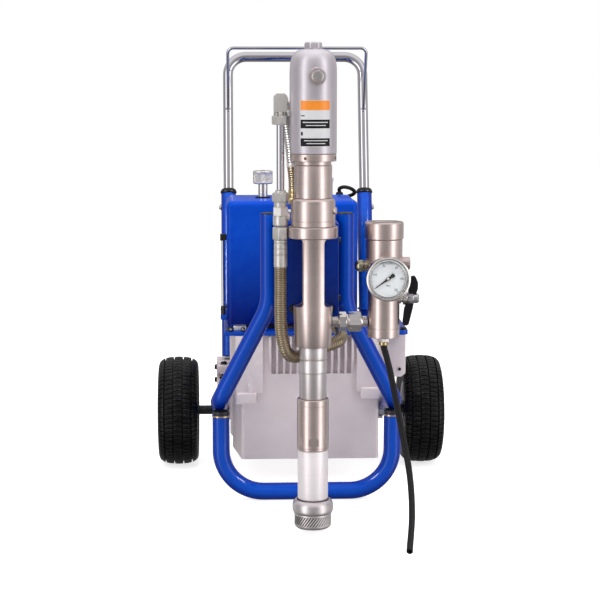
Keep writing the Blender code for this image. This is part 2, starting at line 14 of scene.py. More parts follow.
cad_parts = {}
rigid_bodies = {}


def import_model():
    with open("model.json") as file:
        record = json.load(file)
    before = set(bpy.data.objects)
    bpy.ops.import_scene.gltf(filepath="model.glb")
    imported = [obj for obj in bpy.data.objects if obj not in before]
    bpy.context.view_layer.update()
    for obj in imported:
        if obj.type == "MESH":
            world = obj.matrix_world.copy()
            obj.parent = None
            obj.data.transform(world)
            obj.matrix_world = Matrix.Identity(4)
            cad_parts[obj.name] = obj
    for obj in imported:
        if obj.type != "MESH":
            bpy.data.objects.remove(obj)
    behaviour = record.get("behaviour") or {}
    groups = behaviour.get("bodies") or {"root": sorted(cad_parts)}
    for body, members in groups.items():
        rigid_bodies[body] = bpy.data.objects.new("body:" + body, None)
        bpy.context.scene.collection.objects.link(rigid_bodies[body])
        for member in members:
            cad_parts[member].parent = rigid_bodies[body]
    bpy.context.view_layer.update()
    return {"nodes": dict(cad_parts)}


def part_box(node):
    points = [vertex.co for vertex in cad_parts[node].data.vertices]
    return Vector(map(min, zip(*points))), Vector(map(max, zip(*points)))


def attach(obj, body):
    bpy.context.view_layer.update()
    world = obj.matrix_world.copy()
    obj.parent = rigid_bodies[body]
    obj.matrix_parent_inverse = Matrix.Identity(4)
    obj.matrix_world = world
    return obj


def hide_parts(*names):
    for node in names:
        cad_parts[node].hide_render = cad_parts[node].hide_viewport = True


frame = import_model()
MM = 0.001
TAU = 2 * math.pi


def B(node):
    """Lowest and highest corner of a CAD node, in mm."""
    lo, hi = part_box(node)
    return np.array(lo) / MM, np.array(hi) / MM


def mid(node):
    lo, hi = B(node)
    return (lo + hi) / 2


# ---------------------------------------------------------------------------------
# materials
# ---------------------------------------------------------------------------------
class Nodes:
    def __init__(self, name):
        self.mat = bpy.data.materials.new(name)
        self.mat.use_nodes = True
        self.t = self.mat.node_tree
        self.bsdf = self.t.nodes["Principled BSDF"]
        self.coord = self.t.nodes.new("ShaderNodeTexCoord")

    def node(self, kind, **inputs):
        n = self.t.nodes.new(kind)
        for key, value in inputs.items():
            if hasattr(n, key) and key not in n.inputs:
                setattr(n, key, value)
            else:
                n.inputs[key.replace("_", " ")].default_value = value
        return n

    def link(self, a, b):
        self.t.links.new(a, b)

    def mapped(self, stretch):
        m = self.t.nodes.new("ShaderNodeMapping")
        m.inputs["Scale"].default_value = stretch
        self.link(self.coord.outputs["Object"], m.inputs["Vector"])
        return m.outputs["Vector"]

    def noise(self, scale, detail=4.0, rough=0.55, stretch=(1, 1, 1), distortion=0.0):
        n = self.t.nodes.new("ShaderNodeTexNoise")
        n.inputs["Scale"].default_value = scale
        n.inputs["Detail"].default_value = detail
        n.inputs["Roughness"].default_value = rough
        n.inputs["Distortion"].default_value = distortion
        self.link(self.mapped(stretch), n.inputs["Vector"])
        return n.outputs["Fac"]

    def voronoi(self, scale, stretch=(1, 1, 1)):
        n = self.t.nodes.new("ShaderNodeTexVoronoi")
        n.inputs["Scale"].default_value = scale
        self.link(self.mapped(stretch), n.inputs["Vector"])
        return n.outputs["Distance"]

    def ramp(self, value, lo, hi, out_lo=0.0, out_hi=1.0):
        n = self.t.nodes.new("ShaderNodeMapRange")
        n.clamp = True
        n.inputs["From Min"].default_value = lo
        n.inputs["From Max"].default_value = hi
        n.inputs["To Min"].default_value = out_lo
        n.inputs["To Max"].default_value = out_hi
        self.link(value, n.inputs["Value"])
        return n.outputs["Result"]

    def math(self, op, a, b):
        n = self.t.nodes.new("ShaderNodeMath")
        n.operation = op
        for i, x in enumerate((a, b)):
            if isinstance(x, (int, float)):
                n.inputs[i].default_value = x
            else:
                self.link(x, n.inputs[i])
        return n.outputs["Value"]

    def mix(self, fac, a, b, blend="MIX"):
        n = self.t.nodes.new("ShaderNodeMix")
        n.data_type = "RGBA"
        n.blend_type = blend
        if isinstance(fac, (int, float)):
            n.inputs[0].default_value = fac
        else:
            self.link(fac, n.inputs[0])
        for k, x in ((6, a), (7, b)):
            if isinstance(x, tuple):
                n.inputs[k].default_value = (*x, 1.0) if len(x) == 3 else x
            else:
                self.link(x, n.inputs[k])
        return n.outputs[2]


STRETCH = {"X": (1.0, 0.02, 0.02), "Y": (0.02, 1.0, 0.02), "Z": (0.02, 0.02, 1.0)}


def finish(name, base, second, rough=0.4, metal=0.0, vary=(3.0, 22.0), rvar=0.08, rscale=70.0,
           turned=None, turned_depth=0.0, grain=None, peel=None, wear_and_highlight=None, wear_and_highlight_amount=0.6,
           dust=0.0, coat=0.0, coat_rough=0.06, specular=0.5, lines=None, sheen=0.0, painted_crease_shade=0.0, fade=None, rim=None):
    """A procedural finish: two-scale colour variation, roughness variation, and a bump
    of turned marks, grain or orange peel, with worn, lighter edges (on the hose covers partly a painted highlight) and
    dust on top, and optional painted shade in hollows, on the turned-away sides of tubes and towards the lower edge."""
    n = Nodes(name)
    big = n.noise(vary[0], 3.0, 0.5)
    fine = n.noise(vary[1], 6.0, 0.6)
    blend = n.math("ADD", n.math("MULTIPLY", big, 0.55), n.math("MULTIPLY", fine, 0.45))
    colour = n.mix(n.ramp(blend, 0.38, 0.62), base, second)
    r = n.ramp(n.noise(rscale, 5.0, 0.6), 0.3, 0.7, rough - rvar, rough + rvar)
    height = None
    if turned:
        marks = n.noise(900.0, 2.0, 0.5, STRETCH[turned])
        broad = n.noise(150.0, 2.0, 0.5, STRETCH[turned])
        colour = n.mix(n.ramp(broad, 0.35, 0.65, 0.0, 0.10), colour, (base[0] * 0.7, base[1] * 0.7, base[2] * 0.7))
        r = n.math("ADD", r, n.ramp(marks, 0.3, 0.7, -0.010, 0.014))
        height = n.math("MULTIPLY", marks, turned_depth)
    if grain:
        scale, depth = grain
        g = n.noise(scale, 4.0, 0.65)
        g = n.math("MULTIPLY", g, depth)
        height = g if height is None else n.math("ADD", height, g)
        pits = n.ramp(n.voronoi(scale * 0.8), 0.0, 0.25, -0.35 * depth, 0.0)
        height = n.math("ADD", height, pits)
    if peel:
        scale, depth = peel
        p = n.math("MULTIPLY", n.noise(scale, 1.5, 0.4), depth)
        height = p if height is None else n.math("ADD", height, p)
    if lines:
        axis, scale, depth = lines
        w = n.t.nodes.new("ShaderNodeTexWave")
        w.bands_direction = axis
        w.inputs["Scale"].default_value = scale
        n.link(n.coord.outputs["Object"], w.inputs["Vector"])
        l = n.math("MULTIPLY", w.outputs["Fac"], depth)
        height = l if height is None else n.math("ADD", height, l)
    # lighter patches on convex edges: wear, and on the hose covers, whose crests are made strongly bright, also a
    # painted highlight
    if wear_and_highlight:
        g = n.t.nodes.new("ShaderNodeNewGeometry")
        edge = n.ramp(g.outputs["Pointiness"], 0.53, 0.62)
        patchy = n.ramp(n.noise(45.0, 5.0, 0.7), 0.42, 0.60)
        colour = n.mix(n.math("MULTIPLY", n.math("MULTIPLY", edge, patchy), wear_and_highlight_amount), colour, wear_and_highlight)
        # painted shade: where the surface is concave (low pointiness) the colour is darkened towards 15 % of the base,
        # standing in for the shade in the grooves between ribs
        if painted_crease_shade:
            crease_shade_mask = n.ramp(g.outputs["Pointiness"], 0.40, 0.495, painted_crease_shade, 0.0)
            colour = n.mix(crease_shade_mask, colour, (base[0] * 0.15, base[1] * 0.15, base[2] * 0.15))
    if dust:
        g = n.t.nodes.new("ShaderNodeNewGeometry")
        s = n.t.nodes.new("ShaderNodeSeparateXYZ")
        n.link(g.outputs["Normal"], s.inputs["Vector"])
        up = n.ramp(s.outputs["Z"], 0.35, 1.0, 0.0, dust)
        colour = n.mix(n.math("MULTIPLY", up, n.ramp(n.noise(30.0, 6.0, 0.7), 0.35, 0.7)), colour, (0.36, 0.34, 0.32))
    if fade:
        # darker towards the lower edge, standing in for light that falls off down the panel
        low, high, painted_shade_tone = fade
        f = n.t.nodes.new("ShaderNodeSeparateXYZ")
        n.link(n.coord.outputs["Object"], f.inputs["Vector"])
        colour = n.mix(n.ramp(f.outputs["Z"], low, high, 1.0, 0.0), colour, painted_shade_tone)
    if rim:
        # painted shade: the colour deepens to navy where a round tube turns away from the view
        start, full, painted_shade_tone = rim
        w = n.t.nodes.new("ShaderNodeLayerWeight")
        w.inputs["Blend"].default_value = 0.5
        colour = n.mix(n.ramp(w.outputs["Facing"], start, full, 0.0, 0.85), colour, painted_shade_tone)
    n.link(colour, n.bsdf.inputs["Base Color"])
    r = n.ramp(r, 0.0, 1.0)
    n.link(r, n.bsdf.inputs["Roughness"])
    n.bsdf.inputs["Metallic"].default_value = metal
    n.bsdf.inputs["Specular IOR Level"].default_value = specular
    n.bsdf.inputs["Coat Weight"].default_value = coat
    n.bsdf.inputs["Coat Roughness"].default_value = coat_rough
    n.bsdf.inputs["Sheen Weight"].default_value = sheen
    if height is not None:
        b = n.t.nodes.new("ShaderNodeBump")
        b.inputs["Strength"].default_value = 1.0
        b.inputs["Distance"].default_value = 0.001
        n.link(height, b.inputs["Height"])
        n.link(b.outputs["Normal"], n.bsdf.inputs["Normal"])
    return n.mat


# painted shade: rim darkens the tubes' colour to navy towards their turned-away sides
BLUE = finish("blue_enamel", (0.0007, 0.048, 0.35), (0.0005, 0.040, 0.31), 0.24, 0.0, rvar=0.04, rscale=30,
              peel=(260.0, 0.015), wear_and_highlight=(0.02, 0.14, 0.62), wear_and_highlight_amount=0.25, coat=0.50, coat_rough=0.03, specular=0.03,
              rim=(0.05, 0.45, (0.0007, 0.013, 0.19)))
BLUE_PANEL = finish("blue_enamel_panel", (0.0015, 0.056, 0.47), (0.0012, 0.048, 0.42), 0.26, 0.0, rvar=0.04, rscale=30,
                    peel=(260.0, 0.03), wear_and_highlight=(0.02, 0.14, 0.62), wear_and_highlight_amount=0.25, coat=0.16, coat_rough=0.06, specular=0.03,
                    fade=(0.365, 0.570, (0.0004, 0.006, 0.13)))
# painted shade: a darker copy of the blue enamel for the pump bracket, which stands in shade behind the pump
BLUE_SHADED = finish("blue_enamel_shaded", (0.0010, 0.030, 0.31), (0.0008, 0.022, 0.25), 0.26, 0.0, rvar=0.04, rscale=30,
                   peel=(260.0, 0.03), wear_and_highlight=(0.02, 0.12, 0.55), wear_and_highlight_amount=0.25, coat=0.25, coat_rough=0.05, specular=0.05)
WARM, WARM2 = (0.71, 0.585, 0.555), (0.63, 0.515, 0.485)
STEEL_Z = finish("stainless_turned_z", WARM, WARM2, 0.30, 1.0, rvar=0.03, turned="Z", turned_depth=0.0007, wear_and_highlight=(0.80, 0.75, 0.72), wear_and_highlight_amount=0.15)
STEEL_X = finish("stainless_turned_x", WARM, WARM2, 0.30, 1.0, rvar=0.03, turned="X", turned_depth=0.0007, wear_and_highlight=(0.80, 0.75, 0.72), wear_and_highlight_amount=0.15)
STEEL_Y = finish("stainless_turned_y", WARM, WARM2, 0.30, 1.0, rvar=0.03, turned="Y", turned_depth=0.0007, wear_and_highlight=(0.80, 0.75, 0.72), wear_and_highlight_amount=0.15)
BRIGHT = finish("bright_steel", (0.76, 0.72, 0.70), (0.69, 0.65, 0.63), 0.22, 1.0, rvar=0.03, turned="Z", turned_depth=0.003,
                wear_and_highlight=(0.88, 0.86, 0.84), wear_and_highlight_amount=0.4)
ZINC = finish("zinc_plate", (0.70, 0.67, 0.64), (0.62, 0.59, 0.56), 0.38, 0.75, rvar=0.05, grain=(600.0, 0.012),
              wear_and_highlight=(0.80, 0.78, 0.76), wear_and_highlight_amount=0.4)
SATIN = finish("satin_alloy", (0.93, 0.865, 0.885), (0.88, 0.815, 0.835), 0.46, 0.45, rvar=0.03, turned="Z", turned_depth=0.004,
               wear_and_highlight=(0.95, 0.92, 0.92), wear_and_highlight_amount=0.3)
CYL = finish("honed_cylinder", (0.76, 0.70, 0.705), (0.71, 0.65, 0.655), 0.35, 1.0, rvar=0.010, turned="Z", turned_depth=0.0004,
             wear_and_highlight=(0.90, 0.88, 0.87), wear_and_highlight_amount=0.2)
ALLOY = finish("machined_alloy", (0.93, 0.90, 0.91), (0.86, 0.83, 0.84), 0.36, 1.0, rvar=0.03, turned="Z", turned_depth=0.006,
               wear_and_highlight=(0.90, 0.89, 0.88), wear_and_highlight_amount=0.4)
SILVER = finish("silver_lacquer", (0.56, 0.515, 0.555), (0.52, 0.475, 0.515), 0.34, 0.60, rvar=0.03, rscale=50,
                peel=(420.0, 0.010), coat=0.3, coat_rough=0.12)
CAST = finish("cast_aluminium", (0.77, 0.685, 0.70), (0.71, 0.625, 0.64), 0.46, 0.10, grain=(420.0, 0.05),
              wear_and_highlight=(0.86, 0.80, 0.82), wear_and_highlight_amount=0.45)
DARK = finish("dark_iron", (0.040, 0.040, 0.043), (0.026, 0.026, 0.028), 0.42, 0.7, grain=(500.0, 0.05),
              wear_and_highlight=(0.20, 0.19, 0.18), wear_and_highlight_amount=0.6)
BLACKOX = finish("black_oxide_bolt", (0.018, 0.017, 0.018), (0.012, 0.012, 0.013), 0.28, 0.6, grain=(700.0, 0.015),
                 wear_and_highlight=(0.25, 0.24, 0.23), wear_and_highlight_amount=0.6)
CHROME = finish("chrome_plate", (0.64, 0.62, 0.65), (0.60, 0.58, 0.61), 0.08, 1.0, rvar=0.02, rscale=40,
                peel=(90.0, 0.003))
PLASTIC = finish("black_plastic", (0.007, 0.007, 0.008), (0.005, 0.005, 0.006), 0.34, 0.0, grain=(900.0, 0.025),
                 wear_and_highlight=(0.04, 0.04, 0.04), wear_and_highlight_amount=0.5, dust=0.01, specular=0.25)
RUBBER = finish("black_rubber", (0.008, 0.007, 0.008), (0.005, 0.005, 0.006), 0.44, 0.0, grain=(700.0, 0.03), dust=0.01, specular=0.25)
CABLE = finish("cable_sheath", (0.007, 0.007, 0.008), (0.005, 0.005, 0.005), 0.26, 0.0, grain=(800.0, 0.02), dust=0.01, specular=0.25)
TYRE = finish("tyre_rubber", (0.0030, 0.0027, 0.0030), (0.002, 0.0017, 0.002), 0.36, 0.0, grain=(450.0, 0.08),
              wear_and_highlight=(0.085, 0.080, 0.086), wear_and_highlight_amount=0.8, dust=0.0, specular=0.20)
# hose covers: the light rib crests are partly wear and partly a painted highlight; the darkened hollows between the
# ribs are painted shade
HOSE = finish("bronze_hose_cover", (0.40, 0.315, 0.215), (0.25, 0.19, 0.125), 0.26, 0.85, grain=(900.0, 0.03),
              wear_and_highlight=(0.92, 0.84, 0.70), wear_and_highlight_amount=0.9, painted_crease_shade=0.9)
CONDUIT = finish("steel_conduit", (0.55, 0.53, 0.51), (0.46, 0.44, 0.42), 0.28, 0.9, grain=(900.0, 0.02),
                 wear_and_highlight=(0.85, 0.83, 0.80), wear_and_highlight_amount=0.7, painted_crease_shade=0.8)
BRASS = finish("brass", (0.60, 0.45, 0.22), (0.52, 0.385, 0.18), 0.22, 1.0, turned="Z", turned_depth=0.005,
               wear_and_highlight=(0.80, 0.68, 0.42), wear_and_highlight_amount=0.5)
OLIVE = finish("nickel_brass", (0.40, 0.37, 0.27), (0.33, 0.30, 0.21), 0.18, 1.0, rvar=0.03, turned="X", turned_depth=0.003,
               wear_and_highlight=(0.70, 0.66, 0.52), wear_and_highlight_amount=0.4)
DIAL = finish("dial_white", (0.84, 0.84, 0.87), (0.81, 0.81, 0.84), 0.35, 0.0, rvar=0.03, grain=(900.0, 0.008))
DIAL_GREY = finish("dial_grey", (0.50, 0.50, 0.53), (0.46, 0.46, 0.49), 0.35, 0.0, rvar=0.03, grain=(900.0, 0.008))
INK = finish("dial_ink", (0.014, 0.014, 0.016), (0.010, 0.010, 0.012), 0.40, 0.0, grain=(900.0, 0.01))
L_ORANGE = finish("label_orange", (0.80, 0.25, 0.02), (0.74, 0.21, 0.015), 0.32, 0.0, rvar=0.04, peel=(300.0, 0.006), coat=0.25)
L_WHITE = finish("label_white", (0.60, 0.59, 0.61), (0.56, 0.55, 0.57), 0.32, 0.0, rvar=0.04, peel=(300.0, 0.006), coat=0.25)
L_BLACK = finish("label_black", (0.007, 0.006, 0.008), (0.005, 0.004, 0.006), 0.35, 0.0, rvar=0.04, peel=(300.0, 0.006), specular=0.15)
BELT = finish("belt_rubber", (0.020, 0.019, 0.019), (0.013, 0.012, 0.012), 0.6, 0.0, lines=("X", 260.0, 0.2), grain=(700.0, 0.04))
PAPER = finish("filter_media", (0.62, 0.58, 0.50), (0.55, 0.51, 0.43), 0.8, 0.0, grain=(600.0, 0.08))


def glass():
    n = Nodes("gauge_glass")
    smudge = n.ramp(n.noise(60.0, 4.0, 0.6), 0.35, 0.7, 0.02, 0.09)
    n.link(smudge, n.bsdf.inputs["Roughness"])
    n.link(n.mix(n.noise(20.0), (0.97, 0.98, 0.98), (0.92, 0.94, 0.94)), n.bsdf.inputs["Base Color"])
    n.bsdf.inputs["Transmission Weight"].default_value = 1.0
    n.bsdf.inputs["IOR"].default_value = 1.10
    b = n.node("ShaderNodeBump")
    b.inputs["Distance"].default_value = 0.001
    n.link(n.math("MULTIPLY", n.noise(50.0, 2.0), 0.02), b.inputs["Height"])
    n.link(b.outputs["Normal"], n.bsdf.inputs["Normal"])
    path = n.t.nodes.new("ShaderNodeLightPath")
    clear = n.t.nodes.new("ShaderNodeBsdfTransparent")
    blend = n.t.nodes.new("ShaderNodeMixShader")
    n.link(n.math("MAXIMUM", path.outputs["Is Shadow Ray"], path.outputs["Is Diffuse Ray"]), blend.inputs["Fac"])
    n.link(n.bsdf.outputs["BSDF"], blend.inputs[1])
    n.link(clear.outputs["BSDF"], blend.inputs[2])
    n.link(blend.outputs["Shader"], n.t.nodes["Material Output"].inputs["Surface"])
    return n.mat


GLASS = glass()


# ---------------------------------------------------------------------------------
# mesh helpers: every shape is (points in mm, faces)
# ---------------------------------------------------------------------------------
def unit(v):
    v = np.asarray(v, float)
    return v / np.linalg.norm(v)


def basis(axis):
    named = {"Z": ((1, 0, 0), (0, 1, 0), (0, 0, 1)), "Y": ((1, 0, 0), (0, 0, 1), (0, 1, 0)), "X": ((0, 1, 0), (0, 0, 1), (1, 0, 0))}
    if isinstance(axis, str):
        return [np.array(v, float) for v in named[axis]]
    w = unit(axis)
    helper = np.array((0.0, 0.0, 1.0)) if abs(w[2]) < 0.9 else np.array((1.0, 0.0, 0.0))
    u = unit(np.cross(helper, w))
    return [u, np.cross(w, u), w]


def soft(points, r, steps=3, closed=False):
    """Rounds the corners of an outline or a profile. r is one radius or one for each point."""
    p = [np.array(q[:2], float) for q in points]
    n, out = len(p), []
    for i, q in enumerate(p):
        radius = r[i] if isinstance(r, (list, tuple)) else r
        if radius <= 0 or (not closed and i in (0, n - 1)):
            out.append(q)
            continue
        u, w = p[i - 1] - q, p[(i + 1) % n] - q
        lu, lw = np.linalg.norm(u), np.linalg.norm(w)
        if lu < 1e-9 or lw < 1e-9:
            out.append(q)
            continue
        u, w = u / lu, w / lw
        ang = math.acos(max(-1.0, min(1.0, float(u @ w))))
        if ang > math.radians(168):
            out.append(q)
            continue
        cut = min(radius / math.tan(ang / 2), 0.46 * min(lu, lw))
        s, e = q + u * cut, q + w * cut
        for k in range(steps + 1):
            t = k / steps
            out.append((1 - t) ** 2 * s + 2 * t * (1 - t) * q + t * t * e)
    return [tuple(q) for q in out]


def lathe(profile, c=(0, 0, 0), axis="Z", n=96, flat=None, phase=0.0, ring=False, radial=None):
    """Turns a profile of (radius, height[, half width over the flats of a hexagon])."""
    u, v, w = basis(axis)
    c = np.array(c, float)
    k = np.arange(n)
    th = k * TAU / n + phase
    spoke = np.cos(th)[:, None] * u + np.sin(th)[:, None] * v
    six = 1 / np.cos((k * TAU / n) % (math.pi / 3) - math.pi / 6)
    pts, rows, count = [], [], 0
    for p in profile:
        r, h = p[0], p[1]
        fl = p[2] if len(p) > 2 else flat
        if r < 1e-6:
            pts.append((c + w * h)[None])
            rows.append([count])
            count += 1
            continue
        rr = np.full(n, float(r))
        if fl:
            rr = np.minimum(rr, fl * six)
        if radial:
            rr = radial(rr, th, h)
        pts.append(c + w * h + spoke * rr[:, None])
        rows.append(list(range(count, count + n)))
        count += n
    if ring:
        rows.append(rows[0])
    faces = []
    for a, b in zip(rows, rows[1:]):
        for i in range(n):
            j = (i + 1) % n
            q = list(dict.fromkeys((a[i % len(a)], a[j % len(a)], b[j % len(b)], b[i % len(b)])))
            if len(q) > 2:
                faces.append(tuple(q))
    if not ring:
        for row in (rows[0], rows[-1]):
            if len(row) > 1:
                faces.append(tuple(row))
    return np.concatenate(pts), faces


def of_bm(bm):
    bm.verts.index_update()
    shape = (np.array([v.co[:] for v in bm.verts]), [tuple(v.index for v in f.verts) for f in bm.faces])
    bm.free()
    return shape


def bevelled(bm, bevel, seg, keep=None):
    bmesh.ops.recalc_face_normals(bm, faces=bm.faces)
    if bevel > 0:
        edges = [e for e in bm.edges if len(e.link_faces) == 2 and e.calc_face_angle(0.0) > 0.3 and (keep is None or keep(e))]
        bmesh.ops.bevel(bm, geom=edges, offset=bevel, segments=seg, profile=0.5, affect="EDGES", clamp_overlap=True)
    return of_bm(bm)


def prism(outline, low, high, axis="Z", bevel=1.0, seg=2, keep=None):
    """Extrudes an outline. axis Z: points are (x, y); Y: (x, z); X: (y, z)."""
    bm = bmesh.new()

    def at(p, h):
        a, b = p[:2]
        return Vector({"Z": (a, b, h), "Y": (a, h, b), "X": (h, a, b)}[axis])
    lo = [bm.verts.new(at(p, low)) for p in outline]
    hi = [bm.verts.new(at(p, high)) for p in outline]
    bm.faces.new(lo)
    bm.faces.new(hi)
    m = len(outline)
    for i in range(m):
        bm.faces.new([lo[i], lo[(i + 1) % m], hi[(i + 1) % m], hi[i]])
    return bevelled(bm, bevel, seg, keep)


def box(lo, hi, bevel=1.0, seg=2, keep=None):
    (x0, y0, z0), (x1, y1, z1) = lo, hi
    return prism([(x0, y0), (x1, y0), (x1, y1), (x0, y1)], z0, z1, "Z", bevel, seg, keep)


def moved(shape, matrix):
    v, f = shape
    m = np.array(matrix, float)
    return v @ m[:3, :3].T + m[:3, 3], f


def spun(shape, angle, about, axis="Z"):
    about = Vector(about)
    return moved(shape, Matrix.Translation(about) @ Matrix.Rotation(angle, 4, axis) @ Matrix.Translation(-about))


def fillet(points, radii, steps=14):
    """A path whose corners are arcs of the given radii."""
    pts = [Vector(p) for p in points]
    path = [pts[0]]
    for i in range(1, len(pts) - 1):
        a, b, c = pts[i - 1], pts[i], pts[i + 1]
        u, w = (a - b).normalized(), (c - b).normalized()
        half = u.angle(w) / 2
        r = radii[i - 1]
        centre = b + (u + w).normalized() * (r / math.sin(half))
        s, e = b + u * (r / math.tan(half)) - centre, b + w * (r / math.tan(half)) - centre
        swing, across = s.angle(e), s.cross(e).normalized()
        for k in range(steps + 1):
            path.append(centre + Matrix.Rotation(swing * k / steps, 3, across) @ s)
    path.append(pts[-1])
    return np.array([tuple(p) for p in path])


def spline(points, steps=12):
    p = np.array(points, float)
    p = np.vstack([2 * p[0] - p[1], p, 2 * p[-1] - p[-2]])
    out = []
    for i in range(1, len(p) - 2):
        for k in range(steps):
            t = k / steps
            out.append(0.5 * ((2 * p[i]) + (p[i + 1] - p[i - 1]) * t + (2 * p[i - 1] - 5 * p[i] + 4 * p[i + 1] - p[i + 2]) * t * t
                       + (3 * p[i] - p[i - 1] - 3 * p[i + 1] + p[i + 2]) * t ** 3))
    out.append(p[-2])
    return np.array(out)


def resample(path, step):
    path = np.asarray(path, float)
    d = np.r_[0, np.cumsum(np.linalg.norm(np.diff(path, axis=0), axis=1))]
    n = max(2, int(round(d[-1] / step)) + 1)
    s = np.linspace(0, d[-1], n)
    return np.stack([np.interp(s, d, path[:, k]) for k in range(3)], axis=1)


def sweep(path, radius, n=32, ref=(0, 1, 0), inner=None, wave=None, round_ends=0.0, squash=None):
    """Sweeps a round section along a path without twisting. wave(s, angle) adds to the radius."""
    path = np.asarray(path, float)
    keep = [0] + [i for i in range(1, len(path)) if np.linalg.norm(path[i] - path[i - 1]) > 1e-4]
    path = path[keep]
    m = len(path)
    t = np.zeros((m, 3))
    seg = np.diff(path, axis=0)
    seg /= np.linalg.norm(seg, axis=1)[:, None]
    t[0], t[-1] = seg[0], seg[-1]
    t[1:-1] = seg[:-1] + seg[1:]
    t /= np.linalg.norm(t, axis=1)[:, None]
    s = np.r_[0, np.cumsum(np.linalg.norm(np.diff(path, axis=0), axis=1))]
    u = np.array(ref, float)
    u = unit(u - t[0] * (u @ t[0]))
    us = []
    for i in range(m):
        u = unit(u - t[i] * (u @ t[i]))
        us.append(u)
    us = np.array(us)
    ws = np.cross(t, us)
    th = np.arange(n) * TAU / n
    rad = np.full(m, float(radius)) if np.isscalar(radius) else np.asarray(radius, float)[keep]

    def rings(rr):
        full = rr[:, None] * np.ones(n)
        if wave is not None:
            full = full + wave(s[:, None], th[None, :])
        a = full * np.cos(th)
        b = full * np.sin(th) * (squash or 1.0)
        return path[:, None] + us[:, None] * a[..., None] + ws[:, None] * b[..., None]

    outer = rings(rad)
    if round_ends:
        r0, steps = round_ends, 3
        heads, tails = [], []
        for k in range(1, steps + 1):
            x = k / steps * math.pi / 2
            f0 = (rad[0] - r0 + r0 * math.cos(x)) / rad[0]
            f1 = (rad[-1] - r0 + r0 * math.cos(x)) / rad[-1]
            heads.append(path[0] + (outer[0] - path[0]) * f0 - t[0] * (r0 * (math.sin(x) - 1)) * 0 - t[0] * 0)
            tails.append(path[-1] + (outer[-1] - path[-1]) * f1)
        z = [r0 * math.sin(k / steps * math.pi / 2) for k in range(1, steps + 1)]
        heads = [h - t[0] * d for h, d in zip(heads, z)]
        tails = [h + t[-1] * d for h, d in zip(tails, z)]
        outer = np.concatenate([np.array(heads[::-1]), outer, np.array(tails)])
    mm = len(outer)
    pts = outer.reshape(-1, 3)
    faces = [(i * n + k, i * n + (k + 1) % n, (i + 1) * n + (k + 1) % n, (i + 1) * n + k) for i in range(mm - 1) for k in range(n)]
    if inner:
        base = len(pts)
        ins = path[:, None] + (us[:, None] * np.cos(th)[None, :, None] + ws[:, None] * np.sin(th)[None, :, None]) * inner
        pts = np.concatenate([pts, ins.reshape(-1, 3)])
        faces += [(base + i * n + k, base + (i + 1) * n + k, base + (i + 1) * n + (k + 1) % n, base + i * n + (k + 1) % n) for i in range(m - 1) for k in range(n)]
        for a, b in ((0, base), ((mm - 1) * n, base + (m - 1) * n)):
            faces += [(a + k, a + (k + 1) % n, b + (k + 1) % n, b + k) for k in range(n)]
    else:
        faces.append(tuple(range(n)))
        faces.append(tuple((mm - 1) * n + k for k in range(n)))
    return pts, faces


def bead(path, r=2.3, pitch=3.6, n=12):
    """A weld bead with its ripple."""
    return sweep(resample(path, 0.9), r, n, ref=(0.3, 0.8, 0.5), wave=lambda s, a: 0.32 * np.abs(np.sin(math.pi * s / pitch)) * np.ones_like(a))


def circle_path(c, axis, r, steps=72, a0=0.0, a1=TAU):
    u, v, w = basis(axis)
    a = np.linspace(a0, a1, steps + 1)
    return np.array(c, float) + r * (np.cos(a)[:, None] * u + np.sin(a)[:, None] * v)


def hexnut(r_flat, h0, h1, c, axis, chamfer=1.2, bore=None, phase=0.0, n=72, both=True):
    """A nut or a hexagonal collar between heights h0 and h1, with turned chamfers."""
    corner = r_flat / math.cos(math.pi / 6)
    low = r_flat * 0.96
    prof = [(low if both else corner, h0, r_flat), (corner, h0 + chamfer * (0.6 if both else 0.02), r_flat),
            (corner, h1 - chamfer * 0.6, r_flat), (low, h1, r_flat)]
    rows = [(a[0], a[1], r_flat) for a in prof]
    if bore:
        rows += [(bore, h1, None), (bore, h0, None)]
        return lathe(rows, c, axis, n, ring=True, phase=phase)
    return lathe(rows, c, axis, n, phase=phase)


def screw(piece, c, axis, d=6.0, kind="hex", head=None, washer=True, mat=None, wmat=None, phase=0.2):
    """A bolt head on a surface at c, facing along axis: hexagon, or socket cap with its pocket."""
    mat = mat or BLACKOX
    h0 = 0.0
    if washer:
        piece.put(lathe(soft([(0, 0), (d * 1.12, 0), (d * 1.12, d * 0.22), (0, d * 0.22)], d * 0.05), c, axis, 40), wmat or mat)
        h0 = d * 0.22
    if kind == "hex":
        f, h = d * 0.85, d * 0.66
        piece.put(lathe([(f * 1.14, h0, f), (f * 1.16, h0 + h * 0.7, f), (f * 1.04, h0 + h, f), (f * 0.9, h0 + h), (0, h0 + h * 0.97)], c, axis, 48, phase=phase), mat)
    elif kind == "button":
        r = d * 0.92
        dome = [(r, h0)] + [(r * math.cos(a), h0 + d * 0.5 * math.sin(a)) for a in np.linspace(0.05, 1.15, 7)]
        top = dome[-1][1]
        piece.put(lathe(dome + [(d * 0.36, top, d * 0.31), (d * 0.36, top - d * 0.28, d * 0.31), (0, top - d * 0.33)], c, axis, 48, phase=phase), mat)
    else:
        r, h = d * 0.78, d * 0.95
        piece.put(lathe([(r * 0.97, h0), (r, h0 + 0.3), (r, h0 + h - d * 0.1), (r * 0.9, h0 + h), (d * 0.47, h0 + h), (d * 0.45, h0 + h - 0.3, d * 0.40),
                         (d * 0.45, h0 + h * 0.45, d * 0.40), (0, h0 + h * 0.38)], c, axis, 48, phase=phase), mat)


def temp_object(shape):
    v, f = shape
    me = bpy.data.meshes.new("temp")
    me.from_pydata((np.asarray(v) * MM).tolist(), [], f)
    bm = bmesh.new()
    bm.from_mesh(me)
    bmesh.ops.recalc_face_normals(bm, faces=bm.faces)
    bm.to_mesh(me)
    bm.free()
    ob = bpy.data.objects.new("temp", me)
    bpy.context.scene.collection.objects.link(ob)
    return ob


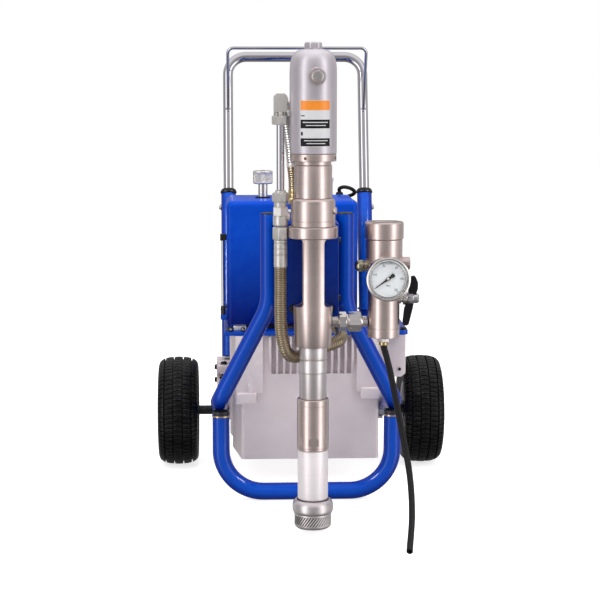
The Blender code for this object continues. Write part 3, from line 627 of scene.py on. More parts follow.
def boolean(shape, cutters, operation="DIFFERENCE"):
    """The shape with closed shapes cut out of it, or united with it."""
    target = temp_object(shape)
    tools = []
    for c in cutters:
        tool = temp_object(c)
        mod = target.modifiers.new("b", "BOOLEAN")
        mod.operation, mod.object, mod.solver = operation, tool, "EXACT"
        tools.append(tool)
    bpy.context.view_layer.update()
    result = target.evaluated_get(bpy.context.evaluated_depsgraph_get()).to_mesh()
    out = (np.array([v.co[:] for v in result.vertices]).reshape(-1, 3) / MM, [tuple(p.vertices) for p in result.polygons])
    for ob in [target] + tools:
        me = ob.data
        bpy.data.objects.remove(ob, do_unlink=True)
        bpy.data.meshes.remove(me)
    return out


class Piece:
    """One visible piece: shapes with their finishes, riding on a CAD body."""

    def __init__(self, name, body="cart"):
        self.name, self.body = name, body
        self.v, self.f, self.m, self.mats, self.count = [], [], [], [], 0

    def put(self, shape, mat):
        v, f = shape
        if mat not in self.mats:
            self.mats.append(mat)
        k = self.mats.index(mat)
        self.f += [tuple(int(i) + self.count for i in q) for q in f]
        self.m += [k] * len(f)
        self.v.append(np.asarray(v, float).reshape(-1, 3))
        self.count += len(v)
        return self

    def done(self, *stands, slot=None, angle=38.0, flat=False):
        me = bpy.data.meshes.new(self.name)
        me.from_pydata((np.concatenate(self.v) * MM).tolist(), [], self.f)
        me.polygons.foreach_set("material_index", np.array(self.m, np.int32))
        bm = bmesh.new()
        bm.from_mesh(me)
        bmesh.ops.recalc_face_normals(bm, faces=bm.faces)
        bm.to_mesh(me)
        bm.free()
        for mat in self.mats:
            me.materials.append(mat)
        if not flat:
            me.shade_smooth()
            me.set_sharp_from_angle(angle=math.radians(angle))
        me.update()
        ob = bpy.data.objects.new(self.name, me)
        bpy.context.scene.collection.objects.link(ob)
        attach(ob, self.body)
        if stands:
            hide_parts(*stands)
        return ob


LEAN = math.radians(15.0)
LEAN_DIR = np.array((0.0, math.sin(LEAN), math.cos(LEAN)))
GLO, GHI = B("base_plate")


def lean_point(x, z, forward=0.0):
    return np.array((x, 431.5 + (z - 249.0) * math.tan(LEAN) + forward, z))


# ---------------------------------------------------------------------------------
# wheels
# ---------------------------------------------------------------------------------
def tyre(side):
    lo, hi = B("tyre_" + side)
    c = (lo + hi) / 2
    R = (hi[2] - lo[2]) / 2
    W = (hi[0] - lo[0]) / 2
    pitches, depth = 68, 5.6
    half = [(0, 0), (4.5, 0), (9.0, 0), (9.5, 1), (12.3, 1), (12.9, 0), (17, 0), (21.5, 0), (26, 0), (29.8, 0), (30.3, 1), (32.8, 1), (33.4, 0),
            (37.5, 0), (40.5, 0), (43, 0), (45.2, 0), (46.4, 0), (47.2, 0)]
    crown = [(0, R), (21, R - 1.3), (33, R - 4.2), (41, R - 8.6), (45.2, R - 13.5), (47.2, R - 20)]
    cx, cr = zip(*crown)
    wall = [(47.5, R - 25), (46.3, R - 26.2), (46.6, R - 28), (47.4, R - 30), (47.0, R - 36), (45.5, R - 42), (44.3, R - 43), (44.2, R - 45), (42.5, R - 50), (39.5, R - 56), (37.5, R - 59), (38.2, R - 61.5), (37.0, R - 64.5)]
    xs, rs, rows, grooves = [], [], [], []
    for x, g in half:
        xs.append(x); rs.append(np.interp(x, cx, cr)); grooves.append(g)
    for x, r in wall:
        xs.append(x); rs.append(r); grooves.append(2)
    xs = [-x for x in xs[:0:-1]] + xs
    rs = rs[:0:-1] + rs
    grooves = grooves[:0:-1] + grooves
    xs, rs, grooves = np.array(xs) * (W / 47.5), np.array(rs), np.array(grooves)
    fr = []
    for o in (0.0, 0.25, 0.5):
        fr += [o, o + 0.03, o + 0.17, o + 0.20]
    fr = np.array(sorted(fr))
    th = (np.arange(pitches)[:, None] + fr[None, :]).ravel() * TAU / pitches
    frac = np.tile(fr, pitches)
    P = np.zeros((len(th), len(xs), 3))
    for j, (x, r, g) in enumerate(zip(xs, rs, grooves)):
        a = abs(x)
        if a < 9.4:
            off, shift = 0.0, -(1 - (a / 9.0) ** 2) * 1.8
        elif a < 30.0:
            off, shift = 0.5, (a - 21.0) * 0.10
        else:
            off, shift = 0.25, (a - 38.0) * 0.06
        cutd = np.zeros(len(th))
        inside = ((frac - off) > 0.015) & ((frac - off) < 0.185)
        fade = 1.0 if a < 44 else max(0.0, (47.4 - a) / 3.4)
        if g == 0:
            cutd[inside] = depth * fade
        elif g == 1:
            cutd[:] = depth + 0.4
        if g == 0 and a < 46:
            sipe = np.abs(frac - off - 0.6) < 0.012
            cutd[sipe] = 1.6 * fade
        rr = r - cutd
        tt = th + shift / R
        P[:, j, 0] = x
        P[:, j, 1] = rr * np.cos(tt)
        P[:, j, 2] = rr * np.sin(tt)
    P += c
    n, m = len(th), len(xs)
    faces = [(i * m + j, i * m + j + 1, ((i + 1) % n) * m + j + 1, ((i + 1) % n) * m + j) for i in range(n) for j in range(m - 1)]
    p = Piece("vis_tyre_" + side, "wheel_" + side)
    p.put((P.reshape(-1, 3), faces), TYRE)
    # bead seats close the section towards the rim
    p.put(lathe([(rs[0], -37.0), (60.6, -35.0), (60.6, 35.0), (rs[-1], 37.0)] + [(rs[-1] - 0.6, 36.0), (rs[0] - 0.6, -36.0)], c, "X", 96, ring=True), RUBBER)
    p.done("tyre_" + side, slot="tyre", angle=32)


def rim(side):
    lo, hi = B("rim_" + side)
    c = np.array((mid("tyre_" + side)[0], (lo[1] + hi[1]) / 2, (lo[2] + hi[2]) / 2))
    p = Piece("vis_rim_" + side, "wheel_" + side)
    barrel = [(55, -36.5), (60, -37.5), (66.2, -38.2), (67.4, -39.4), (66.6, -40.6), (61, -40.4), (56.5, -38.0), (54.5, -30), (54.5, -14), (50, -10),
              (50, 8), (54.5, 14), (54.5, 30), (56.5, 38.0), (61, 40.4), (66.6, 40.6), (67.4, 39.4), (66.2, 38.2), (60, 37.5), (58, 34), (57.4, 0), (58, -34)]
    p.put(lathe(soft(barrel, 1.0, 2, True), c, "X", 96, ring=True), SILVER)
    disc = [(20, -10), (30, -10), (36, -5.5), (44, -5.5), (49.9, -9.5), (49.9, -6), (44.5, -2.2), (35.5, -2.2), (29.5, -6.6), (20, -6.6)]
    d = lathe(soft(disc, 2.0, 3, True), c, "X", 96, ring=True)
    holes = [lathe([(0, -14), (4.8, -14), (4.8, 2), (0, 2)], c + np.array((0, 40.2 * math.cos(a), 40.2 * math.sin(a))), "X", 24) for a in np.arange(6) * TAU / 6 + 0.5]
    p.put(boolean(d, holes), SILVER)
    hub = [(12.8, -37.5), (17.5, -37.5), (20, -35), (20, -13), (22, -11), (22, -6), (20, -4), (20, 37), (17.5, 39.5), (12.8, 39.5)]
    p.put(lathe(soft(hub, 1.0, 2, True), c, "X", 64, ring=True), SILVER)
    for k in range(4):
        a = k * TAU / 4 + 0.3
        for s, ax in ((-1, (-1, 0, 0)), (1, (1, 0, 0))):
            screw(p, c + np.array((-10.2 if s < 0 else -6.4, 26.5 * math.cos(a), 26.5 * math.sin(a))), ax, 5.0, "hex", mat=BRIGHT)
    # grease nipple and valve stem
    p.put(lathe([(0, 0), (2.6, 0), (2.6, 4, 2.3), (1.6, 5), (1.6, 8), (0, 9)], c + np.array((12, 0, 20)), "Z", 24), BRASS)
    p.put(lathe([(0, 0), (3.2, 0), (3.2, 10), (2.4, 11), (2.4, 20), (3.0, 20.4), (3.0, 27), (0, 28)], c + np.array((14, 0, -52)), (0.8, 0, 0.6), 24), RUBBER)
    p.done("rim_" + side, slot="silver_paint", angle=35)


for side in ("left", "right"):
    tyre(side)
    rim(side)

lo, hi = B("axle")
c = (lo + hi) / 2
p = Piece("vis_axle")
p.put(lathe([(0, lo[0]), (9.6, lo[0]), (11, lo[0] + 1.4), (11, hi[0] - 1.4), (9.6, hi[0]), (0, hi[0])], (0, c[1], c[2]), "X", 64), DARK)
for s in (-1, 1):
    x = s * (hi[0] - 3.0)
    p.put(lathe(soft([(11.2, -0.9), (18.5, -0.9), (18.5, 0.9), (11.2, 0.9)], 0.4, 2, True), (x + s * 1.6, c[1], c[2]), "X", 48, ring=True), BRIGHT)
    inner = s * 252.5
    p.put(lathe(soft([(11.2, -1.4), (19.5, -1.4), (19.5, 1.4), (11.2, 1.4)], 0.5, 2, True), (inner, c[1], c[2]), "X", 48, ring=True), DARK)
    dome = [(9.4, 0)] + [(9.4 * math.cos(a), 2.4 * math.sin(a)) for a in np.linspace(0.1, 1.5, 7)] + [(0, 2.45)]
    p.put(lathe(dome, (s * hi[0], c[1], c[2]), (s, 0, 0), 48), DARK)
p.done("axle", slot="dark_iron")

# ---------------------------------------------------------------------------------
# cart frame
# ---------------------------------------------------------------------------------
for side, s in (("left", -1.0), ("right", 1.0)):
    lo, hi = B("frame_tube_" + side)
    top = hi[2]
    path = fillet([(s * 83, 0, top), (s * 83, 0, 434), (s * 193, 0, 222), (s * 193, 334.4, 138)], [110.0, 30.0], 22)
    path = resample(path, 7.0)
    p = Piece("vis_frame_tube_" + side)
    p.put(sweep(path, 19.0, 56, inner=16.6), BLUE)
    # plug in the open top, with its flange and a shallow dome
    dome = [(17.9, top - 0.2), (18.3, top + 0.6), (18.0, top + 1.6)] + [(17.4 * math.cos(a), top + 1.8 + 2.6 * math.sin(a)) for a in np.linspace(0.1, 1.5, 8)] + [(0, top + 4.4)]
    p.put(lathe([(0, top - 16), (15.6, top - 16), (16.2, top - 14), (16.2, top - 0.3)] + dome, (s * 83, 0, 0), "Z", 48), PLASTIC)
    # welds to the flange of the pump bracket and to the lug
    for y in (-5.6, 5.6):
        p.put(bead([(s * 64.4, y, 434), (s * 64.4, y, 626)], 2.0), BLUE)
    p.put(bead(circle_path((s * 193, 336.2, 137.6), "Y", 18.8), 2.0), BLUE)
    p.done("frame_tube_" + side, slot="blue_paint")

lo, hi = B("foot_loop")
zc = lo[2] + 19.0
loop = resample(fillet([(-189, 0, hi[2]), (-189, 0, zc), (189, 0, zc), (189, 0, hi[2])], [94, 94], 26), 6.0)
p = Piece("vis_foot_loop")
p.put(sweep(loop, 19.0, 56), BLUE)
for s in (-1, 1):
    # spigot, clamp ring and seal where the loop enters the bend of the side tube
    zt = hi[2]
    p.put(lathe(soft([(19.05, zt - 4.6), (20.0, zt - 4.6), (20.0, zt - 0.8), (19.05, zt - 0.8)], 0.5, 2, True), (s * 189, 0, 0), "Z", 64, ring=True), BRASS)
    p.put(lathe(soft([(16.0, zt - 0.6), (18.4, zt - 0.6), (18.4, zt + 8.0), (16.0, zt + 8.0)], 0.3, 2, True), (s * 189, 0, 0), "Z", 64, ring=True), DARK)
p.done("foot_loop", slot="blue_paint")

for side, s in (("left", -1.0), ("right", 1.0)):
    lo, hi = B("upright_" + side)
    low, top = lean_point(s * 170, 250.0), lean_point(s * 170, hi[2] - 2.5)
    p = Piece("vis_upright_" + side)
    p.put(sweep([low, top - LEAN_DIR * 1.2, top], [18.5, 18.5, 18.0], 56, ref=(1, 0, 0), inner=15.2), BLUE)
    # guide bush that closes the sleeve round the handle's leg
    bush = [(13.0, -16), (15.0, -16), (15.0, 0.3), (19.6, 0.6), (20.4, 2.4), (20.2, 5.0), (19.0, 8.6), (16.6, 11.6), (14.6, 12.6), (13.0, 12.0)]
    p.put(lathe(soft(bush, 0.8, 3, True), top, LEAN_DIR, 64, ring=True), PLASTIC)
    # weld to the base plate
    zb = GHI[2]
    p.put(bead(circle_path(lean_point(s * 170, zb + 2.5), "Z", 19.4), 2.2), BLUE)
    p.done("upright_" + side, slot="blue_paint")

    # spring lock that holds the handle at its height
    q = Piece("vis_handle_lock_" + side)
    c0 = lean_point(s * 170, 610.0)
    ax = (s, 0, 0)
    q.put(lathe(soft([(0, 17.5), (7.5, 17.5), (7.5, 20.5), (5.0, 21.5), (5.0, 24.0), (0, 24.6)], 0.8), c0, ax, 40), BRIGHT)
    q.done(slot="stainless")

    lo, hi = B("axle_lug_" + side)
    x0, x1 = lo[0], hi[0]
    outline = [(340, 108), (390, 108), (474, 185), (474, 243), (398.6, 243), (398.6, 200), (340, 165)]
    outline = soft(outline, [9, 12, 9, 5, 3, 6, 6], 4, True)
    p = Piece("vis_axle_lug_" + side)
    plate = prism(outline, x0, x1, "X", 2.2, 3)
    bore = lathe([(0, x0 - 5), (12.0, x0 - 5), (12.0, x1 + 5), (0, x1 + 5)], (0, 362, 130), "X", 48)
    p.put(boolean(plate, [bore]), CAST)
    for ex, sg in ((x0, -1), (x1, 1)):
        p.put(lathe(soft([(12.2, -0.5), (19.0, -0.5), (19.0, 2.2), (17.0, 3.2), (12.2, 3.2)], 0.6, 2, True), (ex, 362, 130), (sg, 0, 0), 56, ring=True), CAST)
        screw(p, (ex, 440, 222), (sg, 0, 0), 7.0, "hex")
        screw(p, (ex, 440, 190), (sg, 0, 0), 7.0, "hex")
    # clamp flange over the front, with the bolt that draws it down
    xm = (x0 + x1) / 2
    p.put(box((x0 + 0.5, 378, 214), (x1 - 0.5, 402, 236), 2.2, 3), CAST)
    p.put(lathe(soft([(0, 188), (5.4, 188), (5.4, 216), (0, 216)], 0.8), (xm, 387, 0), "Z", 32), BLACKOX)
    p.put(hexnut(8.6, 201, 208, (xm, 387, 0), "Z", 1.0), BRIGHT)
    p.put(lathe(soft([(0, 236), (9.6, 236), (9.6, 238), (0, 238)], 0.4), (xm, 389, 0), "Z", 40), BRIGHT)
    screw(p, (xm, 389, 238), (0, 0, 1), 8.0, "hex", washer=False)
    p.done("axle_lug_" + side, slot="casting")

# base plate: bolts to the tank and to the motor's feet
lo, hi = GLO, GHI
p = Piece("vis_base_plate")
outline = soft([(lo[0], lo[1]), (hi[0], lo[1]), (hi[0], hi[1]), (lo[0], hi[1])], [5, 14, 14, 5], 6, True)
plate = prism(outline, lo[2], hi[2], "Z", 1.6, 3)
plate = boolean(plate, [lathe([(0, 330), (14, 330), (14, 380), (0, 380)], (-97, 270, 0), "Z", 48)])
p.put(plate, BLUE)
for x, y in ((-170, 124), (226, 124), (228, 424), (-160, 424), (-60, 124), (116, 124), (30, 424)):
    screw(p, (x, y, hi[2]), (0, 0, 1), 7.0, "hex")
p.done("base_plate", slot="blue_paint")

# pump bracket: folded channel, corner radii as the bend leaves them
lo, hi = B("pump_bracket")
z0, z1 = lo[2], hi[2]
channel = [(-63.4, 4), (-63.4, -4), (-56, -4), (-56, -203), (56, -203), (56, -4), (63.4, -4), (63.4, 4),
           (51, 4), (51, -198), (-51, -198), (-51, 4)]
p = Piece("vis_pump_bracket")
channel = soft(channel, [1.0, 1.0, 4, 7, 7, 4, 1.0, 1.0, 1.5, 3, 3, 1.5], 4, True)
# the bracket takes the darker painted-shade copy of the blue enamel
p.put(prism(channel, z0, z1, "Z", 0.7, 2), BLUE_SHADED)
saddle = prism(soft([(-18, 515), (18, 515), (18, 598), (-18, 598)], 4, 4, True), -217, -202.5, "Y", 1.0, 2)
p.put(saddle, BLUE_SHADED)
for s in (-1, 1):
    for z in (470, 590):
        screw(p, (s * 56, -150, z), (s, 0, 0), 8.0, "hex")
        screw(p, (s * 56, -60, z), (s, 0, 0), 8.0, "hex")
    for z in (455, 612):
        screw(p, (s * 38, -203, z), (0, -1, 0), 8.0, "cap")
p.done("pump_bracket", slot="blue_paint")

# ---------------------------------------------------------------------------------
# oil tank: a thin-walled casting with fins, mounting pads and a side shoulder
# ---------------------------------------------------------------------------------
lo, hi = B("oil_tank")
z0, z1 = lo[2], hi[2]
p = Piece("vis_oil_tank")
plan = soft([(-143, 124), (171, 124), (171, 338), (-163, 338), (-163, 254)], [9, 9, 9, 9, 6], 5, True)
body = prism(plan, z0, z1, "Z", 3.0, 3)
grooves = []
for k in range(12):
    x = -77.4 + 7.8 + k * 15.6
    slot_ = soft([(x - 5.3, 110), (x + 5.3, 110), (x + 5.3, 135.5), (x - 5.3, 135.5)], [0, 0, 4.8, 4.8], 4, True)
    g = prism(slot_, 260, z1 - 3, "Z", 0.0)
    grooves.append(g)
body = boolean(body, grooves)
p.put(body, CAST)
shoulder = soft([(165, 244), (226, 244), (236, 252), (236, z1), (165, z1)], [1, 4, 4, 2, 1], 4, True)
p.put(prism(shoulder, 165, 330, "Y", 2.4, 3), CAST)
left = soft([(-156, 193), (-110, 193), (-110, 219), (-94, 219), (-94, z1), (-156, z1)], [3, 3, 3, 3, 1, 1], 3, True)
p.put(prism(left, 112, 130, "Y", 1.6, 3), CAST)
right = soft([(129, 205), (170, 205), (170, z1), (119, z1), (119, 220), (129, 220)], [3, 3, 1, 1, 3, 3], 3, True)
p.put(prism(right, 112, 130, "Y", 1.6, 3), CAST)
# cooling fins on the front wall, each drawn out to a point at its foot
for k in range(13):
    x = -77.4 + k * 15.6
    fin = [(137, 256), (127, 258), (114, 290), (114, z1 - 1), (137, z1 - 1)]
    p.put(prism(soft(fin, [0, 3, 6, 2, 0], 3, True), x - 2.7, x + 2.7, "X", 1.1, 2), CAST)
p.put(box((-154, 104, 194), (-108.8, 137.6, 219.8), 3.0, 3), CAST)
p.put(prism(soft([(-129, 218), (-118, 218), (-118, 232), (-124, 240), (-129, 240)], 1.5, 3, True), 106, 126, "Y", 1.0, 2), CAST)
p.put(box((128.2, 104, 204.2), (171.6, 137.6, 230), 3.0, 3), CAST)
# ribs on the back wall and the left wall
for k in range(12):
    x = -140 + k * 26
    p.put(prism([(337, 80), (344, 90), (344, z1 - 16), (337, z1 - 6)], x - 2.2, x + 2.2, "X", 0.9, 2), CAST)
for s_x, e_x in ((-144, -150),):
    for y in (272, 296, 320):
        p.put(prism([(-162, 82), (-169, 92), (-169, z1 - 16), (-162, z1 - 6)], y - 2.2, y + 2.2, "Y", 0.9, 2), CAST)
# drain plug and flange bolts
p.put(hexnut(9.5, 0, 9, (60, 338, 84), (0, 1, 0), 1.4), BRIGHT)
p.put(lathe(soft([(0, 0), (13, 0), (13, 2), (0, 2)], 0.4), (60, 338, 84), (0, 1, 0), 48), BRIGHT)
for x in (180, 222):
    screw(p, (x, 165, 262), (0, -1, 0), 4.5, "cap", washer=False)
p.done("oil_tank", slot="casting")

# ---------------------------------------------------------------------------------
# drive: shroud, motor, fan, hydraulic pump, belt
# ---------------------------------------------------------------------------------
lo, hi = B("drive_shroud")
bm = bmesh.new()
cube = bmesh.ops.create_cube(bm, size=1.0)["verts"]
for v in cube:
    v.co = Vector([lo[k] + (v.co[k] + 0.5) * (hi[k] - lo[k]) for k in range(3)])
front_edges = [e for e in bm.edges if all(v.co.y < lo[1] + 1 for v in e.verts) and abs(e.verts[0].co.z - e.verts[1].co.z) > 10]
top_edges = [e for e in bm.edges if all(v.co.z > hi[2] - 1 for v in e.verts) and not all(v.co.y > hi[1] - 1 for v in e.verts)]
bmesh.ops.bevel(bm, geom=front_edges + top_edges, offset=13.0, segments=7, profile=0.5, affect="EDGES")
gone = [f for f in bm.faces if all(v.co.y > hi[1] - 0.5 for v in f.verts) or all(v.co.z < lo[2] + 0.5 for v in f.verts)]
bmesh.ops.delete(bm, geom=gone, context="FACES")
bmesh.ops.recalc_face_normals(bm, faces=bm.faces)
centre = Vector([(lo[k] + hi[k]) / 2 for k in range(3)])
if sum((f.calc_center_median() - centre).dot(f.normal) > 0 for f in bm.faces) < len(bm.faces) / 2:
    bmesh.ops.reverse_faces(bm, faces=bm.faces)
shell_v, shell_f = of_bm(bm)
tmp = bpy.data.meshes.new("t")
tmp.from_pydata((shell_v * MM).tolist(), [], shell_f)
tob = bpy.data.objects.new("t", tmp)
bpy.context.scene.collection.objects.link(tob)
mod = tob.modifiers.new("s", "SOLIDIFY")
mod.thickness, mod.offset, mod.use_even_offset, mod.use_rim = 0.003, -1.0, True, True
bpy.context.view_layer.update()
ev = tob.evaluated_get(bpy.context.evaluated_depsgraph_get()).to_mesh()
shell = (np.array([v.co[:] for v in ev.vertices]) / MM, [tuple(q.vertices) for q in ev.polygons])
bpy.data.objects.remove(tob, do_unlink=True)
bpy.data.meshes.remove(tmp)
kx, ky = mid("pressure_knob")[:2]
cutters = [lathe([(0, hi[2] - 30), (14.5, hi[2] - 30), (14.5, hi[2] + 20), (0, hi[2] + 20)], (kx, ky, 0), "Z", 48)]
shell = boolean(shell, cutters)
p = Piece("vis_drive_shroud")
p.put(shell, BLUE_PANEL)
# screws that hold the shroud to its frame
for x, sg in ((lo[0], -1), (hi[0], 1)):
    for y in (170, 340):
        screw(p, (x, y, lo[2] + 14), (sg, 0, 0), 5.0, "button")
# back flange
p.put(box((lo[0] + 3, hi[1] - 4, hi[2] - 14), (hi[0] - 3, hi[1] - 1, hi[2] - 3.2), 0.6, 2), BLUE)
p.done("drive_shroud", slot="blue_paint", angle=40)

# gas strut down the left side of the shroud, with its clamp and foot
p = Piece("vis_side_strut")
sx0 = B("drive_shroud")[0][0]
p.put(lathe(soft([(0, 381), (4.0, 381), (4.0, 575), (0, 575)], 0.6), (-183.5, 160, 0), "Z", 32), CHROME)
p.put(box((-189.5, 153.5, 562), (sx0 + 1, 166.5, 577), 1.6, 3), BLACKOX)
p.put(box((-189.5, 153.5, 381), (sx0 + 1, 166.5, 392), 1.6, 3), BLUE)
p.put(lathe(soft([(0, 390), (5.6, 390), (5.6, 411), (4.2, 413), (0, 413)], 0.6), (-183.5, 160, 0), "Z", 32), DARK)
p.put(box((-160, 118, 360.6), (-132, 142, 371.5), 1.0, 2), ALLOY)
for x in (-166, -139):
    p.put(lathe(soft([(0, 0), (4.6, 0), (4.6, 7), (3.0, 8), (0, 8)], 0.6), (x, 118, 365), (0, -1, 0), 28), BLACKOX)
    p.put(lathe(soft([(0, 7.6), (2.4, 7.6), (2.4, 9.4), (0, 9.8)], 0.4), (x, 118, 365), (0, -1, 0), 24), BRIGHT)
p.done(slot="chrome")

# grommet round the valve stem
lo_k, hi_k = B("pressure_knob")
sh_top = B("drive_shroud")[1][2]
p = Piece("vis_stem_grommet")
p.put(lathe(soft([(11.6, sh_top - 5), (14.2, sh_top - 5), (14.2, sh_top - 0.2), (18.0, sh_top + 0.2), (18.0, sh_top + 2.4), (11.6, sh_top + 3.4)], 0.8, 3, True), (kx, ky, 0), "Z", 56, ring=True), RUBBER)
p.done(slot="rubber")

lo, hi = B("motor_housing")
mc = np.array((35.0, 0.0, 462.0))


def fins(rr, th, h):
    out = rr.copy()
    tall = rr > 71
    cell = (th * 44 / TAU) % 1.0
    fin = np.clip((np.abs(cell - 0.5) - 0.28) / 0.07, 0, 1)
    return np.where(tall, 71 + (rr - 71) * (1 - fin), out)


p = Piece("vis_motor_housing")
barrel = [(12.5, 222), (28, 222), (60, 224), (70, 229), (71, 236), (71.5, 239.9), (80, 240), (80, 451.9), (71.5, 452), (71, 454), (66, 457.5), (12.5, 457.5)]
p.put(lathe(barrel + [(12.5, 222)], mc, "Y", 352, radial=fins, ring=True), CAST)
for k in range(4):
    a = k * TAU / 4 + TAU / 8
    for y, ax in ((227.5, (0, -1, 0)), (455.5, (0, 1, 0))):
        screw(p, mc + np.array((63 * math.cos(a), y, 63 * math.sin(a))), ax, 5.0, "hex")
for y0, y1 in ((262, 292), (398, 428)):
    foot = [(35 - 72, 360.5), (35 + 72, 360.5), (35 + 72, 368), (35 + 50, 380), (35 + 40, 397), (35 - 40, 397), (35 - 50, 380), (35 - 72, 368)]
    p.put(prism(soft(foot, [1, 1, 3, 6, 3, 3, 6, 3], 3, True), y0, y1, "Y", 1.2, 2), CAST)
    for s in (-1, 1):
        screw(p, (35 + s * 61, (y0 + y1) / 2, 373.5), (0, 0, 1), 6.5, "hex")
p.put(prism([(35 - 66, 360.6), (35 + 66, 360.6), (35 + 60, 366), (35 - 60, 366)], 292, 398, "Y", 0.8, 2), CAST)
p.done("motor_housing", slot="casting", angle=30)

lo, hi = B("fan_cover")
p = Piece("vis_fan_cover")
p.put(lathe(soft([(79, 460), (79, 505), (70, 514.5), (66, 514.5), (66, 511), (69.5, 511), (75.5, 504), (75.5, 460)], [0.5, 6, 3, 0.5, 0.5, 3, 5, 0.5], 4, True), mc, "Y", 96, ring=True), PLASTIC)
for r in np.arange(12, 66, 5.4):
    p.put(sweep(circle_path(mc + np.array((0, 512.6, 0)), "Y", r, 64)[:-1].tolist() + [circle_path(mc + np.array((0, 512.6, 0)), "Y", r, 64)[0].tolist()], 1.25, 8), PLASTIC)
for k in range(8):
    a = k * TAU / 8
    d = np.array((math.cos(a), 0, math.sin(a)))
    p.put(sweep([mc + np.array((0, 511.4, 0)) + d * 8, mc + np.array((0, 511.4, 0)) + d * 68], 1.7, 10), PLASTIC)
p.put(lathe(soft([(0, 510), (13, 510), (13, 513), (11, 514.4), (0, 514.4)], 0.8), mc, "Y", 48), PLASTIC)
for k in range(4):
    a = k * TAU / 4 + TAU / 8
    screw(p, mc + np.array((79 * math.cos(a), 468, 79 * math.sin(a))), (math.cos(a), 0, math.sin(a)), 3.6, "button", mat=BRIGHT)
p.done("fan_cover", slot="black_plastic")

lo, hi = B("hydraulic_pump")
pc = np.array((-97.0, 0.0, 455.0))
p = Piece("vis_hydraulic_pump")
p.put(lathe(soft([(0, 262), (10.8, 262), (10.8, 212.2), (30, 212.2), (42, 218), (42, 318), (34, 326), (0, 326)], 2.0, 3), pc, "Y", 72), CAST)
p.put(box((-97 - 38, 226, 360.6), (-97 + 38, 314, 438), 4.0, 4), CAST)
p.put(lathe(soft([(17, 480), (17, 598), (11, 606), (11, hi[2])], 1.5), (kx, ky, 0), "Z", 56), BRIGHT)
p.put(hexnut(17.0, 560, 576, (kx, ky, 0), "Z", 1.6), BRIGHT)
p.put(lathe([(0, 104), (10, 104), (10, 380), (0, 380)], (-97, 270, 0), "Z", 40), BRIGHT)
for k in range(4):
    a = k * TAU / 4 + TAU / 8
    screw(p, pc + np.array((33 * math.cos(a), 215.5, 33 * math.sin(a))), (0, -1, 0), 5.0, "cap", washer=False)
    screw(p, pc + np.array((27 * math.cos(a), 325.5, 27 * math.sin(a))), (0, 1, 0), 5.0, "cap", washer=False)
p.done("hydraulic_pump", slot="casting")

lo, hi = B("pressure_knob")
kc = (kx, ky, 0)


def knurl(rr, th, h):
    grip = (h > lo_k[2] + 3.5) & (h < hi_k[2] - 5.0)
    return rr - (0.45 * (0.5 + 0.5 * np.cos(th * 90)) if grip else 0) * (rr > 20)


p = Piece("vis_pressure_knob", "knob")
zz0, zz1 = lo_k[2], hi_k[2]
prof = [(0, zz0), (19.5, zz0), (22.4, zz0 + 1.2), (23, zz0 + 2.4), (23, zz0 + 3.4), (23.0, zz0 + 3.7), (23.0, zz0 + 10), (23.0, zz0 + 18), (23.0, zz1 - 5.2),
        (23, zz1 - 4.8), (23, zz1 - 2.6), (22.3, zz1 - 1.0), (20.5, zz1), (9, zz1), (8.4, zz1 - 0.6), (0, zz1 - 0.8)]
p.put(lathe(prof, kc, "Z", 540, radial=knurl), ZINC)
p.put(lathe(soft([(0, zz1 - 1.0), (6.0, zz1 - 1.0), (6.0, zz1 + 0.4), (0, zz1 + 0.8)], 0.4), kc, "Z", 48), BLACKOX)
p.done("pressure_knob", slot="machined_alloy", angle=55)

# belt drive
lo, hi = B("drive_belt")
DXY, MXY = np.array((-97.0, 455.0)), np.array((35.0, 462.0))
gap = MXY - DXY
span, tilt = np.linalg.norm(gap), math.atan2(gap[1], gap[0])
lean_b = math.acos((48.0 - 32.0) / span)


def band(extra, steps=28):
    pts = []
    for k in range(steps + 1):
        t = tilt + lean_b + (TAU - 2 * lean_b) * k / steps
        pts.append((DXY[0] + (48 + extra) * math.cos(t), DXY[1] + (48 + extra) * math.sin(t)))
    for k in range(steps + 1):
        t = tilt - lean_b + 2 * lean_b * k / steps
        pts.append((MXY[0] + (32 + extra) * math.cos(t), MXY[1] + (32 + extra) * math.sin(t)))
    return pts


outer, inner = band(9.8), band(3.7)
k = len(outer)
bv, bf = [], []
for y, ins, outs in ((lo[1], 0.0, 0.0), (hi[1], 0.0, 0.0)):
    for (x, z) in outer:
        bv.append((x, y, z))
    for (x, z) in inner:
        bv.append((x, y + (1.8 if y == lo[1] else -1.8), z))
for i in range(k):
    j = (i + 1) % k
    bf += [(i, j, 2 * k + j, 2 * k + i), (k + i, 3 * k + i, 3 * k + j, k + j), (i, k + i, k + j, j), (2 * k + i, 2 * k + j, 3 * k + j, 3 * k + i)]
p = Piece("vis_drive_belt")
p.put((np.array(bv), bf), BELT)
p.done("drive_belt", slot="rubber", angle=50)

